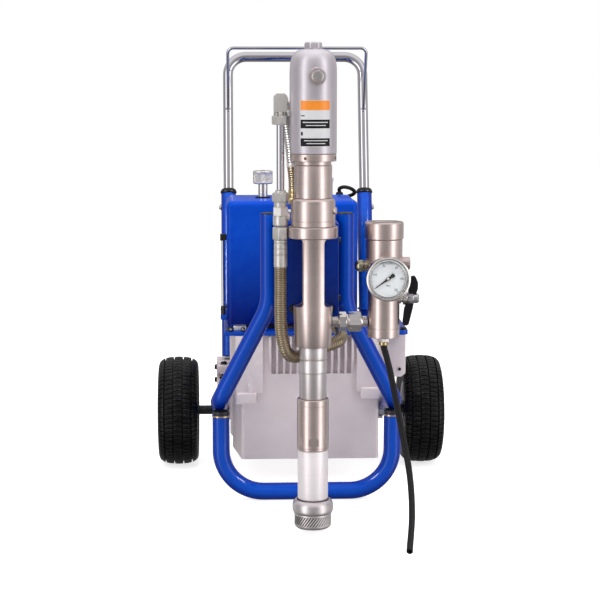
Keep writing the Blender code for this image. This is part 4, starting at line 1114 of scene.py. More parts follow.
for name, body, c, r, node in (("vis_pump_pulley", "pump_drive", pc, 48.0, "pump_pulley"), ("vis_motor_rotor", "rotor", mc, 32.0, "motor_rotor")):
    p = Piece(name, body)
    y0, y1 = (166, 184) if node == "pump_pulley" else (165, 185)
    groove = [(9.5, y0), (r - 12, y0), (r - 4, y0 + 2.4), (r, y0 + 2.2), (r, y0 + 3.4), (r - 7, y0 + 7.6), (r - 7, y1 - 7.6), (r, y1 - 3.4), (r, y1 - 2.2), (r - 4, y1 - 2.4), (r - 12, y1), (9.5, y1)]
    web = lathe(soft(groove, 0.4, 2, True), c, "Y", 96, ring=True)
    p.put(web, STEEL_Y)
    if node == "pump_pulley":
        p.put(lathe([(0, 160), (8, 160), (9, 161), (9, 258), (0, 258)], c, "Y", 40), STEEL_Y)
        p.put(lathe(soft([(9.3, 184), (17, 184), (17, 196), (9.3, 196)], 0.8, 2, True), c, "Y", 48, ring=True), STEEL_Y)
    else:
        p.put(lathe([(0, 160), (8.5, 160), (9.5, 161), (9.5, 262), (58, 262), (58, 420), (9.5, 420), (9.5, 490), (0, 490)], c, "Y", 64), STEEL_Y)
    p.put(box((c[0] - 2, 158.9, c[2] + 7.0), (c[0] + 2, 166, c[2] + 10.4), 0.4, 2), BLACKOX)
    p.done(node, slot="stainless")

# terminal box with its lid, gland and switch
lo, hi = B("terminal_box")
p = Piece("vis_terminal_box")
bx0, bx1, by0, by1, bz0 = 62.0, 138.0, 372.0, 448.0, 545.0
p.put(box((bx0, by0, bz0), (bx1, by1, 622), 4.0, 4), PLASTIC)
p.put(box((bx0 - 0.8, by0 - 0.8, 623.0), (bx1 + 0.8, by1 + 0.8, 634), 3.2, 4), PLASTIC)
p.put(box((bx0 + 2, by0 + 2, 620), (bx1 - 2, by1 - 2, 625), 1.0, 2), RUBBER)
for x in (bx0 + 8, bx1 - 8):
    for y in (by0 + 8, by1 - 8):
        screw(p, (x, y, 633.8), (0, 0, 1), 3.4, "button", washer=False, mat=BRIGHT)
gx, gy = 98.0, 398.0
p.put(hexnut(10.2, 633.8, 640.5, (gx, gy, 0), "Z", 1.2), PLASTIC)
p.put(lathe([(8.6, 640), (8.6, 643), (9.4, 643.4), (9.6, 649), (8.6, 653.4), (7.0, 655.6), (5.2, 656)], (gx, gy, 0), "Z", 96, radial=lambda rr, th, h: rr - (0.4 * (0.5 + 0.5 * np.cos(th * 16)) if 643 < h < 650 else 0)), PLASTIC)
p.put(lathe(soft([(0, 633.8), (7.0, 633.8), (7.0, 636.4), (4.6, 637.2), (0, 637.2)], 0.5), (80, 398, 0), "Z", 40), BRIGHT)
p.done("terminal_box", slot="black_plastic")

p = Piece("vis_switch_lever", "switch")
p.put(lathe([(0, 637), (3.6, 637.2), (4.0, 638.6), (3.2, 641), (2.2, 644), (1.9, 660), (2.1, 676), (3.0, 681), (4.1, 685), (3.8, 688.5), (2.2, 690.6), (0, 691)], (80, 398, 0), "Z", 32), CHROME)
p.done("switch_lever", slot="black_plastic")

cable = spline([(98, 398, 657.0), (98, 397, 664), (108, 393, 668), (124, 386, 665), (134, 384, 657), (130, 396, 650), (121, 412, 645)], 10)
p = Piece("vis_power_cable")
p.put(sweep(cable, 4.5, 24, round_ends=1.2), CABLE)
p.done("power_cable", slot="black_plastic")

# ---------------------------------------------------------------------------------
# pump column
# ---------------------------------------------------------------------------------
lo, hi = B("valve_housing")
PX, PY = (lo[0] + hi[0]) / 2, (lo[1] + hi[1]) / 2
P0 = np.array((PX, PY, 0.0))
FRONT = -math.pi / 2  # the azimuth that faces the front

lo_c, hi_c = B("top_plug")
p = Piece("vis_top_plug")
z0, z1 = 981.2, 994.6
p.put(lathe([(0, 962), (7.5, 962), (7.5, z0), (16.8, z0, None), (17.6, z0 + 0.8, 16.2), (17.8, z0 + 2.0, 16.2), (17.8, z1 - 4.4, 16.2), (17.2, z1 - 2.2, 16.2), (15.4, z1 - 0.5), (13.0, z1), (8, z1), (7.4, z1 - 0.8), (0, z1 - 0.9)],
            P0, "Z", 96, phase=FRONT - 0.36), SILVER)
p.done("top_plug", slot="stainless", angle=30)

p = Piece("vis_valve_housing")
outer = [(38, 775), (46.2, 775.2), (47, 776.4), (47, 800), (47, 850), (47, 900), (47, 932), (46.8, 942), (46.2, 950), (45.2, 957), (43.7, 963), (41.6, 968), (38.8, 972.2), (35.2, 975.6), (31.0, 978.2), (26.4, 980.0), (22.4, 980.8), (19.0, 981.0)]
inner = [(8.2, 981.0), (8.2, 958), (22, 958), (38, 935)]
p.put(lathe(outer + inner, P0, "Z", 128, ring=True), SILVER)
# spot face round the side plug
cz = mid("side_plug")[2]
sx = mid("side_plug")[0]
p.put(lathe(soft([(10, -300), (18.2, -300), (18.2, -306.0), (17.2, -307.2), (10, -307.2)], 0.6, 2, True), (sx, 0, cz), "Y", 64, ring=True), SILVER)
p.done("valve_housing", slot="silver_paint", angle=30)

lo_s, hi_s = B("side_plug")
y_in, y_out = hi_s[1], lo_s[1]
p = Piece("vis_side_plug")
c = (sx, 0, cz)
p.put(lathe(soft([(0, -y_in - 2), (15.4, -y_in - 2), (15.4, -y_in + 2.2), (14.6, -y_in + 3.0), (0, -y_in + 3.0)], 0.5), (sx, 0, cz), (0, -1, 0), 64), STEEL_Y)
hx = [(12.6, -y_in + 3.0, 11.2), (12.9, -y_in + 3.6, 11.2), (12.9, -y_out - 3.0, 11.2), (11.4, -y_out - 0.9, 11.2), (10.2, -y_out - 0.4), (6.0, -y_out), (0, -y_out)]
p.put(lathe(hx, (sx, 0, cz), (0, -1, 0), 72, phase=0.35), BRIGHT)
p.done("side_plug", slot="stainless", angle=28)

# blank label bands wrapped on the housing
label = Piece("vis_label_bands")
R0 = 47.0


def wrap(z_lo, z_hi, mat, extra=0.16, a_lo=-0.625, a_hi=0.725):
    na, rows = 40, []
    pts, faces = [], []
    for z in (z_lo, z_hi):
        for rad in (R0 + 0.02, R0 + extra):
            for k in range(na + 1):
                a = FRONT + a_lo + (a_hi - a_lo) * k / na
                pts.append((PX + rad * math.cos(a), PY + rad * math.sin(a), z))
    m = na + 1
    for k in range(na):
        faces += [(m + k, m + k + 1, 3 * m + k + 1, 3 * m + k), (k, 2 * m + k, 2 * m + k + 1, k + 1),
                  (k, k + 1, m + k + 1, m + k), (2 * m + k, 3 * m + k, 3 * m + k + 1, 2 * m + k + 1)]
    faces += [(0, m, 3 * m, 2 * m), (na, 2 * m + na, 3 * m + na, m + na)]
    label.put((np.array(pts), faces), mat)


wrap(790.0, 881.0, L_WHITE)
wrap(861.5, 880.0, L_ORANGE, 0.26, -0.605, 0.705)
wrap(826.0, 843.0, L_BLACK, 0.26, -0.605, 0.705)
wrap(791.0, 806.5, L_BLACK, 0.26, -0.605, 0.705)
# plain rules in place of print
wrap(836.6, 838.6, L_WHITE, 0.36, -0.50, 0.60)
wrap(830.8, 832.4, L_WHITE, 0.36, -0.36, 0.50)
wrap(801.0, 802.8, L_WHITE, 0.36, -0.44, 0.60)
wrap(795.4, 797.0, L_WHITE, 0.36, -0.34, 0.48)
wrap(812.0, 819.0, L_BLACK, 0.36, -0.585, -0.50)
wrap(849.5, 851.5, L_BLACK, 0.36, -0.585, -0.42)
label.done(slot="paper", angle=30)

lo, hi = B("lock_ring")
ring = lathe(soft([(37.2, lo[2]), (46.5, lo[2]), (46.5, hi[2]), (37.2, hi[2])], [0.3, 1.0, 1.0, 0.3], 3, True), P0, "Z", 128, ring=True)
holes = []
for k in range(4):
    a = FRONT - math.radians(22.5) + k * TAU / 4
    d = np.array((math.cos(a), math.sin(a), 0))
    holes.append(lathe([(0, 38), (3.1, 38), (3.1, 52), (0, 52)], (PX, PY, (lo[2] + hi[2]) / 2 - 0.6), tuple(d), 28))
p = Piece("vis_lock_ring")
p.put(boolean(ring, holes), STEEL_Z)
p.done("lock_ring", slot="stainless", angle=35)

lo, hi = B("hydraulic_cylinder")
p = Piece("vis_hydraulic_cylinder")
prof = [(30.4, lo[2]), (37.2, lo[2]), (38, lo[2] + 0.8), (38, 750.5), (37.2, 752.0), (36.2, 753.0), (36.2, 790), (30.4, 790)]
p.put(lathe(prof, P0, "Z", 128, ring=True), STEEL_Z)
p.done("hydraulic_cylinder", slot="stainless")

lo, hi = B("lower_head")
p = Piece("vis_lower_head")
prof = [(13.6, lo[2]), (43.8, lo[2]), (44.6, lo[2] + 0.8), (44.6, 640), (44.0, 640.5), (44.0, 641.4), (44.6, 641.9), (44.6, 679.5), (43.9, 682.4), (41.4, 685.2), (40.6, hi[2]), (13.6, hi[2])]
p.put(lathe(prof, P0, "Z", 128, ring=True), STEEL_Z)
# port plug on the right
p.put(lathe(soft([(0, 40), (7.5, 40), (7.5, 47.5), (6.4, 48.6), (0, 48.6)], 0.6), (PX, PY, 662), (0.93, -0.36, 0), 40), STEEL_X)
p.done("lower_head", slot="stainless")

lo, hi = B("pump_yoke")
outer = [(37.0, lo[2]), (37.4, lo[2] + 0.6), (39.5, 467), (39.5, 604.5), (40.4, 606.2), (48.6, 606.6), (49.4, 607.6), (49.6, 608.8), (49.6, 628.2), (48.6, hi[2])]
inner = [(15, hi[2]), (15, 609), (27, 608.6), (27, 466), (25.2, 450), (25.2, lo[2])]
yoke = lathe(outer + inner, P0, "Z", 128, ring=True)
cutters = []
for s in (-1, 1):
    w = soft([(s * 20.75, 469), (s * 70, 469), (s * 70, 606.4), (s * 20.75, 606.4)], [9, 0, 0, 11], 8, True)
    cutters.append(prism(w, PY - 60, PY + 60, "Y", 0.0))
for k in range(6):
    a = FRONT + TAU / 12 + k * TAU / 6
p = Piece("vis_pump_yoke")
p.put(boolean(yoke, cutters), STEEL_Z)
p.done("pump_yoke", slot="stainless", angle=34)

lo, hi = B("rod_packing")
for name, mat in (("rod_packing", RUBBER), ("trip_rod", STEEL_Z), ("filter_element", PAPER), ("inlet_ball", BRIGHT), ("hydraulic_piston", CHROME), ("cooling_fan", PLASTIC)):
    ob = frame["nodes"][name]
    ob.data.materials.clear()
    ob.data.materials.append(mat)

# rod seal carrier seen through the window of the yoke
lo, hi = B("rod_coupler")
p = Piece("vis_rod_coupler", "piston")
z0, z1 = lo[2], hi[2]
p.put(lathe([(14.4, z0), (16.0, z0, None), (16.5, z0 + 1.0, 15.2), (16.5, z0 + 12, 15.2), (16.5, z0 + 13.2), (16.5, (z0 + z1) / 2 - 0.6), (15.6, (z0 + z1) / 2 - 0.3), (15.6, (z0 + z1) / 2 + 0.3),
             (16.5, (z0 + z1) / 2 + 0.6), (16.5, z1 - 13.2), (16.5, z1 - 12, 15.2), (16.5, z1 - 1.0, 15.2), (16.0, z1), (13, z1)], P0, "Z", 72), STEEL_Z)
p.done("rod_coupler", slot="stainless", angle=30)
lo, hi = B("displacement_rod")
p = Piece("vis_displacement_rod", "piston")
p.put(lathe([(0, lo[2]), (18.8, lo[2] + 1), (20, lo[2] + 2), (21.5, lo[2] + 6), (21.5, lo[2] + 26), (20.5, lo[2] + 27), (14, lo[2] + 31), (14, hi[2] - 1), (13, hi[2]), (0, hi[2])], P0, "Z", 64), CHROME)
p.done("displacement_rod", slot="chrome")

lo, hi = B("pump_cylinder")
p = Piece("vis_pump_cylinder")
prof = [(22.8, lo[2]), (27.2, lo[2]), (27.4, lo[2] + 0.4), (27.4, 331.6), (27.7, 332.8), (28.3, 333.8), (28.4, 334.6), (28.4, 357.6), (28.0, 358.5), (26.6, 359.0), (26.2, 359.7), (26.6, 360.4), (28.0, 360.9), (28.4, 361.8),
        (28.4, 384.8), (27.6, hi[2]), (22.8, hi[2])]
p.put(lathe(prof, P0, "Z", 112, ring=True), CYL)
p.done("pump_cylinder", slot="stainless", angle=34)

lo, hi = B("cylinder_sleeve")
z0, z1 = lo[2], hi[2]


def wrench_flats(rr, th, h):
    """Two pairs of flats between z0 + 12 and z0 + 26."""
    if z0 + 11.5 < h < z0 + 26.5:
        a = (th - FRONT + math.radians(30)) % (TAU / 6) - TAU / 12
        return np.where(rr > 30, np.minimum(rr, 30.9 / np.cos(a)), rr)
    return rr


prof = [(23.8, z0), (31.2, z0), (32.2, z0 + 1.0), (32.4, z0 + 2.0), (32.4, z0 + 5.0), (31.6, z0 + 5.4), (31.6, z0 + 6.6), (32.4, z0 + 7.0), (32.4, z0 + 11.4), (32.4, z0 + 11.6), (32.4, z0 + 26.4), (32.4, z0 + 26.6),
        (32.4, z1 - 14), (31.9, z1 - 13.6), (31.9, z1 - 12.8), (32.4, z1 - 12.4), (32.4, z1 - 2), (31.6, z1 - 0.6), (30.6, z1), (23.8, z1)]
p = Piece("vis_cylinder_sleeve")
p.put(lathe(prof, P0, "Z", 144, ring=True, radial=wrench_flats), STEEL_Z)
p.done("cylinder_sleeve", slot="stainless", angle=25)

lo, hi = B("foot_valve_body")
z0, z1 = lo[2], hi[2]
p = Piece("vis_foot_valve_body")
prof = [(20, z1), (29.8, z1), (30.8, z1 - 0.8), (31, z1 - 1.8), (31, z0 + 4), (30.2, z0 + 1.2), (29, z0), (11, z0), (11, 84), (20, 92)]
p.put(lathe(prof, P0, "Z", 128, ring=True), SATIN)
p.done("foot_valve_body", slot="machined_alloy")

lo, hi = B("suction_strainer")
z0, z1 = lo[2], hi[2]


p = Piece("vis_suction_strainer")
crown = [(33, 42), (38.4, 40.8), (40.6, 43.4), (41.6, 46.4), (42, 50), (42, 59), (41.4, 61.4), (38.6, 66.0), (36.4, 68.2), (33, z1)]
p.put(lathe(crown, P0, "Z", 144, ring=True), CYL)
basket = [(0, 10.0), (30.6, 10.0), (34.0, 11.0), (36.6, 13.2), (38.0, 16.2), (38.2, 18.0), (36.4, 18.8), (35.4, 17.0), (33.6, 13.6), (30.0, 12.0), (0, 12.0)]
p.put(lathe(basket, P0, "Z", 144), CYL)
p.put(lathe(soft([(35.2, 37.2), (38.4, 37.2), (38.4, 41.4), (35.2, 41.4)], 0.8, 3, True), P0, "Z", 144, ring=True), CYL)
p.put(lathe([(35.0, 15.0), (35.6, 15.0), (35.6, 40.0), (35.0, 40.0)], P0, "Z", 144, ring=True), DARK)
# slanted wires that hold the strainer's cloth
for k in range(40):
    a = np.linspace(0, 0.42, 9) + k * TAU / 40
    path = np.stack([PX + 36.9 * np.cos(a), PY + 36.9 * np.sin(a), np.linspace(17.0, 38.4, 9)], axis=1)
    p.put(sweep(path, 1.15, 8), BRIGHT)
p.done("suction_strainer", slot="stainless", angle=35)

# ---------------------------------------------------------------------------------
# pressure line on the left
# ---------------------------------------------------------------------------------
lo, hi = B("riser_tube")
FX, FY = (lo[0] + hi[0]) / 2, (lo[1] + hi[1]) / 2
F0 = np.array((FX, FY, 0.0))
p = Piece("vis_riser_tube")
p.put(lathe([(0, lo[2]), (8, lo[2]), (8, hi[2]), (0, hi[2])], F0, "Z", 56), CHROME)
p.done("riser_tube", slot="chrome")

lo, hi = B("elbow_fitting")
p = Piece("vis_elbow_fitting")
p.put(hexnut(15.2, 832, 850, F0, "Z", 1.8, phase=0.15), ZINC)


def castle(rr, th, h):
    gap_ = np.abs((th * 8 / TAU) % 1.0 - 0.5) < 0.16
    return np.where(gap_ & (rr > 13), rr - 5.0, rr)


p.put(lathe([(0, 850), (13.2, 850.2), (13.6, 850.6), (13.6, 856.4), (13.2, 857), (0, 857)], F0, "Z", 160, radial=castle), ZINC)
block_ = soft([(FX - 13.4, 857), (FX + 13.4, 857), (FX + 13.4, 889), (FX + 8, 894), (FX - 8, 894), (FX - 13.4, 888)], [2, 2, 4, 4, 5, 6], 4, True)
p.put(prism(block_, FY - 12.6, FY + 12.6, "Y", 3.6, 4), ZINC)
p.put(lathe([(9.2, 6), (9.2, 9), (9.6, 9.4), (9.6, 13), (9.0, 13.4), (9.0, 15.6), (0, 15.6)], (FX, FY, 878), (1, 0, 0), 48), ZINC)
p.put(hexnut(9.6, 10.0, 14.0, (FX, FY, 878), (1, 0, 0), 0.8), ZINC)
p.done("elbow_fitting", slot="stainless", angle=34)

lo, hi = B("union_fitting")
p = Piece("vis_union_fitting")
p.put(hexnut(14.8, 678, 697, F0, "Z", 1.8, phase=0.1), ZINC)
p.put(lathe(soft([(0, 696), (11.6, 696), (11.0, 701.4), (0, 701.4)], 1.0), F0, "Z", 56), ZINC)
p.put(lathe(soft([(0, 668), (13.2, 668), (13.2, 678), (0, 678)], 0.8), F0, "Z", 56), ZINC)
p.put(hexnut(14.2, 650, 668, F0, "Z", 1.6, phase=0.5), ZINC)
p.put(lathe(soft([(0, 630), (13.4, 630), (15.4, 632), (15.4, 650), (0, 650)], 0.8), F0, "Z", 56), ZINC)
p.put(lathe(soft([(0, 8), (8.5, 8), (8.5, 18.8), (0, 18.8)], 0.5), (FX, FY, 648), (1, 0, 0), 48), ZINC)
p.done("union_fitting", slot="stainless", angle=30)


def ribbed(piece, path, r, pitch, depth, mat, n=36, step=None):
    """A spiral-wrapped hose: its radius rises and falls along a helix."""
    path = resample(path, step or pitch / 6)
    piece.put(sweep(path, r - depth, n, ref=(1, 0, 0), wave=lambda s, a: depth * np.abs(np.cos(math.pi * s / pitch + a / 2)) ** 0.7), mat)


p = Piece("vis_pressure_hose")
p.put(hexnut(14.4, 602, 627.8, F0, "Z", 2.0, phase=0.25), ZINC)
fer = [(0, 601.9), (12.6, 601.9), (13.4, 600.6), (13.5, 596), (12.9, 595.2), (12.9, 593.6), (13.5, 592.8), (13.6, 584), (13.2, 583.4), (13.2, 582.2), (13.6, 581.6), (13.6, 572), (13.2, 571.4), (13.2, 570.2), (13.6, 569.6), (13.6, 549), (13.2, 547), (12.4, 546)]
p.put(lathe(fer, F0, "Z", 64), ZINC)
hose = [F0 + np.array((0, 0, z)) for z in (548, 530, 515, 500, 485)]
hose = np.array([tuple(h) for h in hose])
curve = spline([(-65, -248, 500), (-65, -248, 455), (-63, -247, 410), (-52, -243, 370), (-28, -224, 359), (2, -208, 368), (34, -204, 378), (60, -186, 388), (62, -140, 400), (44, -70, 404), (28, 10, 404), (24, 90, 404), (24, 141, 404)], 16)
full = np.concatenate([[F0 + np.array((0, 0, 548)), F0 + np.array((0, 0, 520))], curve])
ribbed(p, full, 13.0, 4.6, 1.35, HOSE)
# bulkhead nut and grommet where the hose enters the drive cover
p.put(hexnut(17.0, 130.0, 139.4, (24, 0, 404), "Y", 1.6, phase=0.25), ZINC)
p.put(lathe(soft([(0, 139.4), (21.0, 139.4), (21.0, 141.7), (0, 141.7)], 0.6), (24, 0, 404), "Y", 56), RUBBER)
p.done("pressure_hose", slot="hose_braid", angle=60)

p = Piece("vis_return_hose")
RX, RY = -34.0, -181.5
p.put(lathe(soft([(0, 641), (9, 641), (9, 700), (0, 700)], 0.8), (RX, RY, 0), "Z", 48), ZINC)
p.put(lathe(soft([(0, 641.5), (12.4, 641.5), (12.4, 652), (0, 652)], 0.8), (RX, RY, 0), "Z", 56), BLUE)
p.put(lathe(soft([(0, 652.5), (13.0, 652.5), (13.0, 658), (0, 658)], 0.8), (RX, RY, 0), "Z", 56), L_WHITE)
p.put(lathe(soft([(0, 658.5), (12.0, 658.5), (12.0, 667.5), (0, 667.5)], 0.8), (RX, RY, 0), "Z", 56), BLUE)
p.put(hexnut(12.0, 668, 682, (RX, RY, 0), "Z", 1.4, phase=0.4), BRASS)
p.put(lathe(soft([(0, 682.4), (12.9, 682.4), (12.9, 689), (12.0, 690), (12.0, 692), (12.9, 693), (12.9, 699), (0, 699)], 0.5), (RX, RY, 0), "Z", 56), BRASS)
ret = spline([(RX, RY, 697), (RX, RY, 706), (-34.6, -182.6, 722), (-37.6, -185.4, 750), (-42, -188, 790), (-47, -190, 826), (-49.4, -192, 846), (-49.8, -192.3, 850)], 14)
cut_ = int(np.argmin(np.abs(ret[:, 2] - 750)))
ribbed(p, ret[:cut_ + 1], 12.8, 4.6, 1.3, HOSE)
ribbed(p, ret[cut_:], 12.4, 5.2, 1.0, CONDUIT)
tip = unit(ret[cut_ + 1] - ret[cut_ - 1])
p.put(lathe(soft([(0, -4), (13.2, -4), (13.2, 4), (0, 4)], 1.0), ret[cut_], tuple(tip), 56), ZINC)
d = unit((-1.0, -3.0, 50.0))
o = np.array((-49.6, -192.1, 846.0))
p.put(hexnut(11.6, 0, 14, o, tuple(d), 1.6, phase=0.3), ZINC)
p.put(lathe(soft([(0, 13), (9.4, 13), (9.4, 30), (8.0, 32), (0, 32)], 0.8), o, tuple(d), 48), ZINC)
p.done("return_hose", slot="hose_braid", angle=50)

# ---------------------------------------------------------------------------------
# outlet fittings, filter, gauge, drain
# ---------------------------------------------------------------------------------
lo, hi = B("outlet_fitting")
OY = (lo[1] + hi[1]) / 2
OC = (0, OY, 433)
p = Piece("vis_outlet_fitting")
threads = [(11.4, 39.6)]
for k in range(6):
    x = 40.2 + k * 2.0
    threads += [(12.0, x), (12.0, x + 0.5), (11.1, x + 1.0), (11.1, x + 1.5)]
p.put(lathe(threads + [(11.4, 52.6), (0, 52.6)], OC, "X", 56), BRIGHT)
p.put(hexnut(17.4, 53.0, 69.4, OC, "X", 2.4, phase=0.42), BRIGHT)
p.put(lathe(soft([(0, 69), (15.6, 69), (15.6, 73), (0, 73)], 0.6), OC, "X", 56), BRIGHT)
p.put(hexnut(18.2, 72.6, 99.0, OC, "X", 2.4, phase=0.2), BRIGHT)
p.put(lathe(soft([(0, 98.8), (13.0, 98.8), (11.2, 102), (11.0, 111.2), (0, 111.2)], 0.8), OC, "X", 56), BRIGHT)
p.done("outlet_fitting", slot="stainless", angle=30)

lo, hi = B("filter_housing")
CX, CY = 145.0, OY
C0 = np.array((CX, CY, 0.0))
z0, z1 = lo[2], hi[2]
p = Piece("vis_filter_housing")
outer = [(10, z0), (31.2, z0), (32.3, z0 + 0.8), (32.5, z0 + 2), (32.5, z0 + 18), (32.0, z0 + 18.6), (32.0, z0 + 19.6), (32.5, z0 + 20.2), (32.5, 549), (33.2, 551.0), (35.6, 552.8), (37.0, 553.8), (37.5, 555.2), (37.5, z1 - 1.2), (36.6, z1)]
inner = [(25, z1), (25, z0 + 13), (10, z0 + 11)]
p.put(lathe(outer + inner, C0, "Z", 128, ring=True), STEEL_Z)
# plugged spray port on the left, valve boss on the right
p.put(lathe([(0, 114), (10.4, 114), (10.4, 105.2), (11.8, 103.4), (12.3, 100.6), (12.3, 97.4), (11.8, 94.2), (10.6, 91.2), (8.8, 88.8), (6.4, 87.0), (3.4, 86.0), (0, 85.7)], (0, CY, 547), "X", 72), OLIVE)
p.put(lathe(soft([(0, 176), (13, 176), (13, 196.5), (11.6, 198), (0, 198)], 0.8), (0, CY, 552), "X", 56), STEEL_X)
p.put(lathe([(9.0, 198), (8.6, 198.2, 7.6), (8.6, 193, 7.6), (0, 192)], (0, CY, 552), "X", 48), DARK)
# boss of the drain valve
p.put(lathe(soft([(0, 172), (10.5, 172), (10.5, 177.8), (0, 177.8)], 0.5), (0, CY, 480), "X", 48), STEEL_X)
p.done("filter_housing", slot="stainless", angle=32)

lo, hi = B("filter_cap")
z0, z1 = 602.4, hi[2]
cap = lathe(soft([(24.6, z0), (38.8, z0), (39.6, z0 + 0.9), (39.6, z1 - 2.8), (37.2, z1), (21, z1), (20, z1 - 1.6), (0, z1 - 1.6)] + [(0, z0 - 14), (24.0, z0 - 14), (24.0, z0)], 0.25, 2), C0, "Z", 128)
p = Piece("vis_filter_cap")
p.put(cap, STEEL_Z)
p.done("filter_cap", slot="stainless", angle=32)

# gauge
lo, hi = B("gauge_case")
GX, GZ = mid("gauge_needle")[0], 528.0
GX = 147.0
p = Piece("vis_gauge_case")
yb, yf = -280.0, lo[1]
case = [(0, -271.4), (8, -271.4), (8, -279.6), (33, -280), (35.4, -281), (36, -282.4), (36, -300), (36.6, -300.4), (41.4, -300.6), (42.5, -301.8), (42.5, -314.6), (41.6, -317.0), (39.4, -318.0), (37.4, -317.4), (36.5, -316.2),
        (36.3, -306.2), (0, -306.2)]
p.put(lathe(case, (GX, 0, GZ), "Y", 128), BRIGHT)
p.put(hexnut(9.0, -281, -273, (GX, 0, GZ), "Y", 1.0), BRASS)
p.put(lathe([(36.1, -306.1), (36.1, -306.9), (0, -306.9)], (GX, 0, GZ), "Y", 96), DIAL)
p.put(lathe([(36.2, -306.6), (34.2, -306.6), (34.2, -307.3), (36.2, -307.6)], (GX, 0, GZ), "Y", 96, ring=True), BRIGHT)


def on_dial(r, a, w, l, y0=-306.9, y1=-307.05):
    """A tick at radius r, clockwise angle a from the top, w wide and l long."""
    d = np.array((math.sin(a), 0, math.cos(a)))
    t = np.array((math.cos(a), 0, -math.sin(a)))
    o = np.array((GX, 0, GZ))
    pts = []
    for y in (y0, y1):
        for i, j in ((-1, 0), (1, 0), (1, 1), (-1, 1)):
            pts.append(o + d * (r - l * j) + t * (w / 2 * i) + np.array((0, y, 0)))
    return np.array(pts), [(4, 5, 6, 7), (0, 1, 5, 4), (1, 2, 6, 5), (2, 3, 7, 6), (3, 0, 4, 7), (3, 2, 1, 0)]


A0 = math.radians(234.0)
for k in range(51):
    a = A0 + math.radians(270.0) * k / 50
    major = k % 10 == 0
    half = k % 5 == 0
    p.put(on_dial(32.8, a, 0.75 if major else (0.5 if half else 0.35), 4.8 if major else (3.6 if half else 2.2)), INK)
arc = circle_path((GX, -306.97, GZ), "Y", 32.9, 96, math.pi / 2 - A0 - math.radians(270), math.pi / 2 - A0)
p.put(sweep(arc, 0.22, 6), INK)


def numeral(text, x, z, size, y=-307.0):
    cu = bpy.data.curves.new("num", "FONT")
    cu.body = text
    cu.size = size
    cu.align_x = "CENTER"
    cu.align_y = "CENTER"
    cu.extrude = 0.05
    cu.resolution_u = 3
    ob = bpy.data.objects.new("num", cu)
    bpy.context.scene.collection.objects.link(ob)
    bpy.context.view_layer.update()
    me = ob.evaluated_get(bpy.context.evaluated_depsgraph_get()).to_mesh()
    v = np.array([q.co[:] for q in me.vertices])
    f = [tuple(q.vertices) for q in me.polygons]
    out = np.stack([v[:, 0] + x, y - v[:, 2], v[:, 1] + z], axis=1)
    bpy.data.objects.remove(ob, do_unlink=True)
    bpy.data.curves.remove(cu)
    return out, f


for k in range(6):
    a = A0 + math.radians(270.0) * k / 5
    r = 25.6
    p.put(numeral(str(k * 10), GX + r * math.sin(a), GZ + r * math.cos(a), 6.0), INK)
p.put(numeral("MPa", GX, GZ - 13.5, 5.2), INK)
# the fill line of the damping liquid
sky = [(GX + 33.9 * math.sin(t), GZ + 33.9 * math.cos(t)) for t in np.linspace(-0.62, 0.62, 25)]
p.put(prism(sky, -306.98, -306.86, "Y", 0.0), DIAL_GREY)
for v in p.v:
    v[:, 0] = GX + (v[:, 0] - GX) * 1.05
    v[:, 2] = GZ + (v[:, 2] - GZ) * 1.05
p.done("gauge_case", slot="stainless", angle=30)

lens = Piece("vis_gauge_lens")
dome = [(36.2, -314.6)] + [(36.2 - 36.2 * k / 8, -315.0 - 1.4 * math.sin(k / 8 * math.pi / 2)) for k in range(1, 8)] + [(0, -316.4)]
back = [(0, -314.4), (36.2, -313.4)]
lens.put(lathe([(r * 1.045, h) for r, h in dome + back], (GX, 0, GZ), "Y", 96), GLASS)
lens.done(slot="stainless")

p = Piece("vis_gauge_needle", "needle")
outline = [(-30.5, -0.65), (-8, -1.6), (-3.8, -2.9), (0, -3.7), (3.8, -2.9), (7.0, -2.3), (9.0, -3.8), (15, -3.8), (15, 3.8), (9.0, 3.8), (7.0, 2.3), (3.8, 2.9), (0, 3.7), (-3.8, 2.9), (-8, 1.6), (-30.5, 0.65)]
ndl = prism(outline, -309.9, -308.9, "Y", 0.15, 2)
ndl = moved(ndl, Matrix.Translation((GX, 0, GZ)) @ Matrix.Rotation(math.radians(-36.0), 4, "Y"))
p.put(ndl, INK)
p.put(lathe(soft([(0, 307.4), (2.8, 307.4), (2.8, 310.6), (1.8, 311.4), (0, 311.4)], 0.4), (GX, 0, GZ), (0, -1, 0), 40), BRIGHT)
p.done("gauge_needle", slot="black_plastic")

# drain valve and its wing lever
lo, hi = B("drain_valve")
DV = (0, CY, 480)
p = Piece("vis_drain_valve")
p.put(lathe(soft([(0, lo[0]), (10.6, lo[0]), (10.6, lo[0] + 2.4), (8.0, lo[0] + 2.8), (8.0, 184), (0, 184)], 0.5), DV, "X", 56), BRIGHT)
p.put(hexnut(11.4, 184, 193.2, DV, "X", 1.4, phase=0.25), BRIGHT)
p.done("drain_valve", slot="stainless", angle=30)
lo, hi = B("drain_lever")
p = Piece("vis_drain_lever", "drain_handle")
p.put(hexnut(12.3, 193.7, 205.4, DV, "X", 1.6, phase=0.25), CHROME)
p.put(lathe(soft([(0, 205), (10.2, 205), (10.2, 214.0), (7.6, 217.0), (0, 217.6)], 1.6, 4), DV, "X", 64), CHROME)
blade = soft([(183.6, 424.6), (195.6, 424.6), (204.6, 462), (207, 478), (214.4, 500), (214.6, 513), (208.8, 526), (201.8, 526), (196.6, 506), (194.4, 480), (187.0, 458)], [5, 6, 8, 6, 8, 7, 3, 3, 8, 8, 8], 5, True)
p.put(prism(blade, CY - 6.6, CY + 6.6, "Y", 2.4, 4), PLASTIC)
p.done("drain_lever", slot="black_plastic", angle=40)

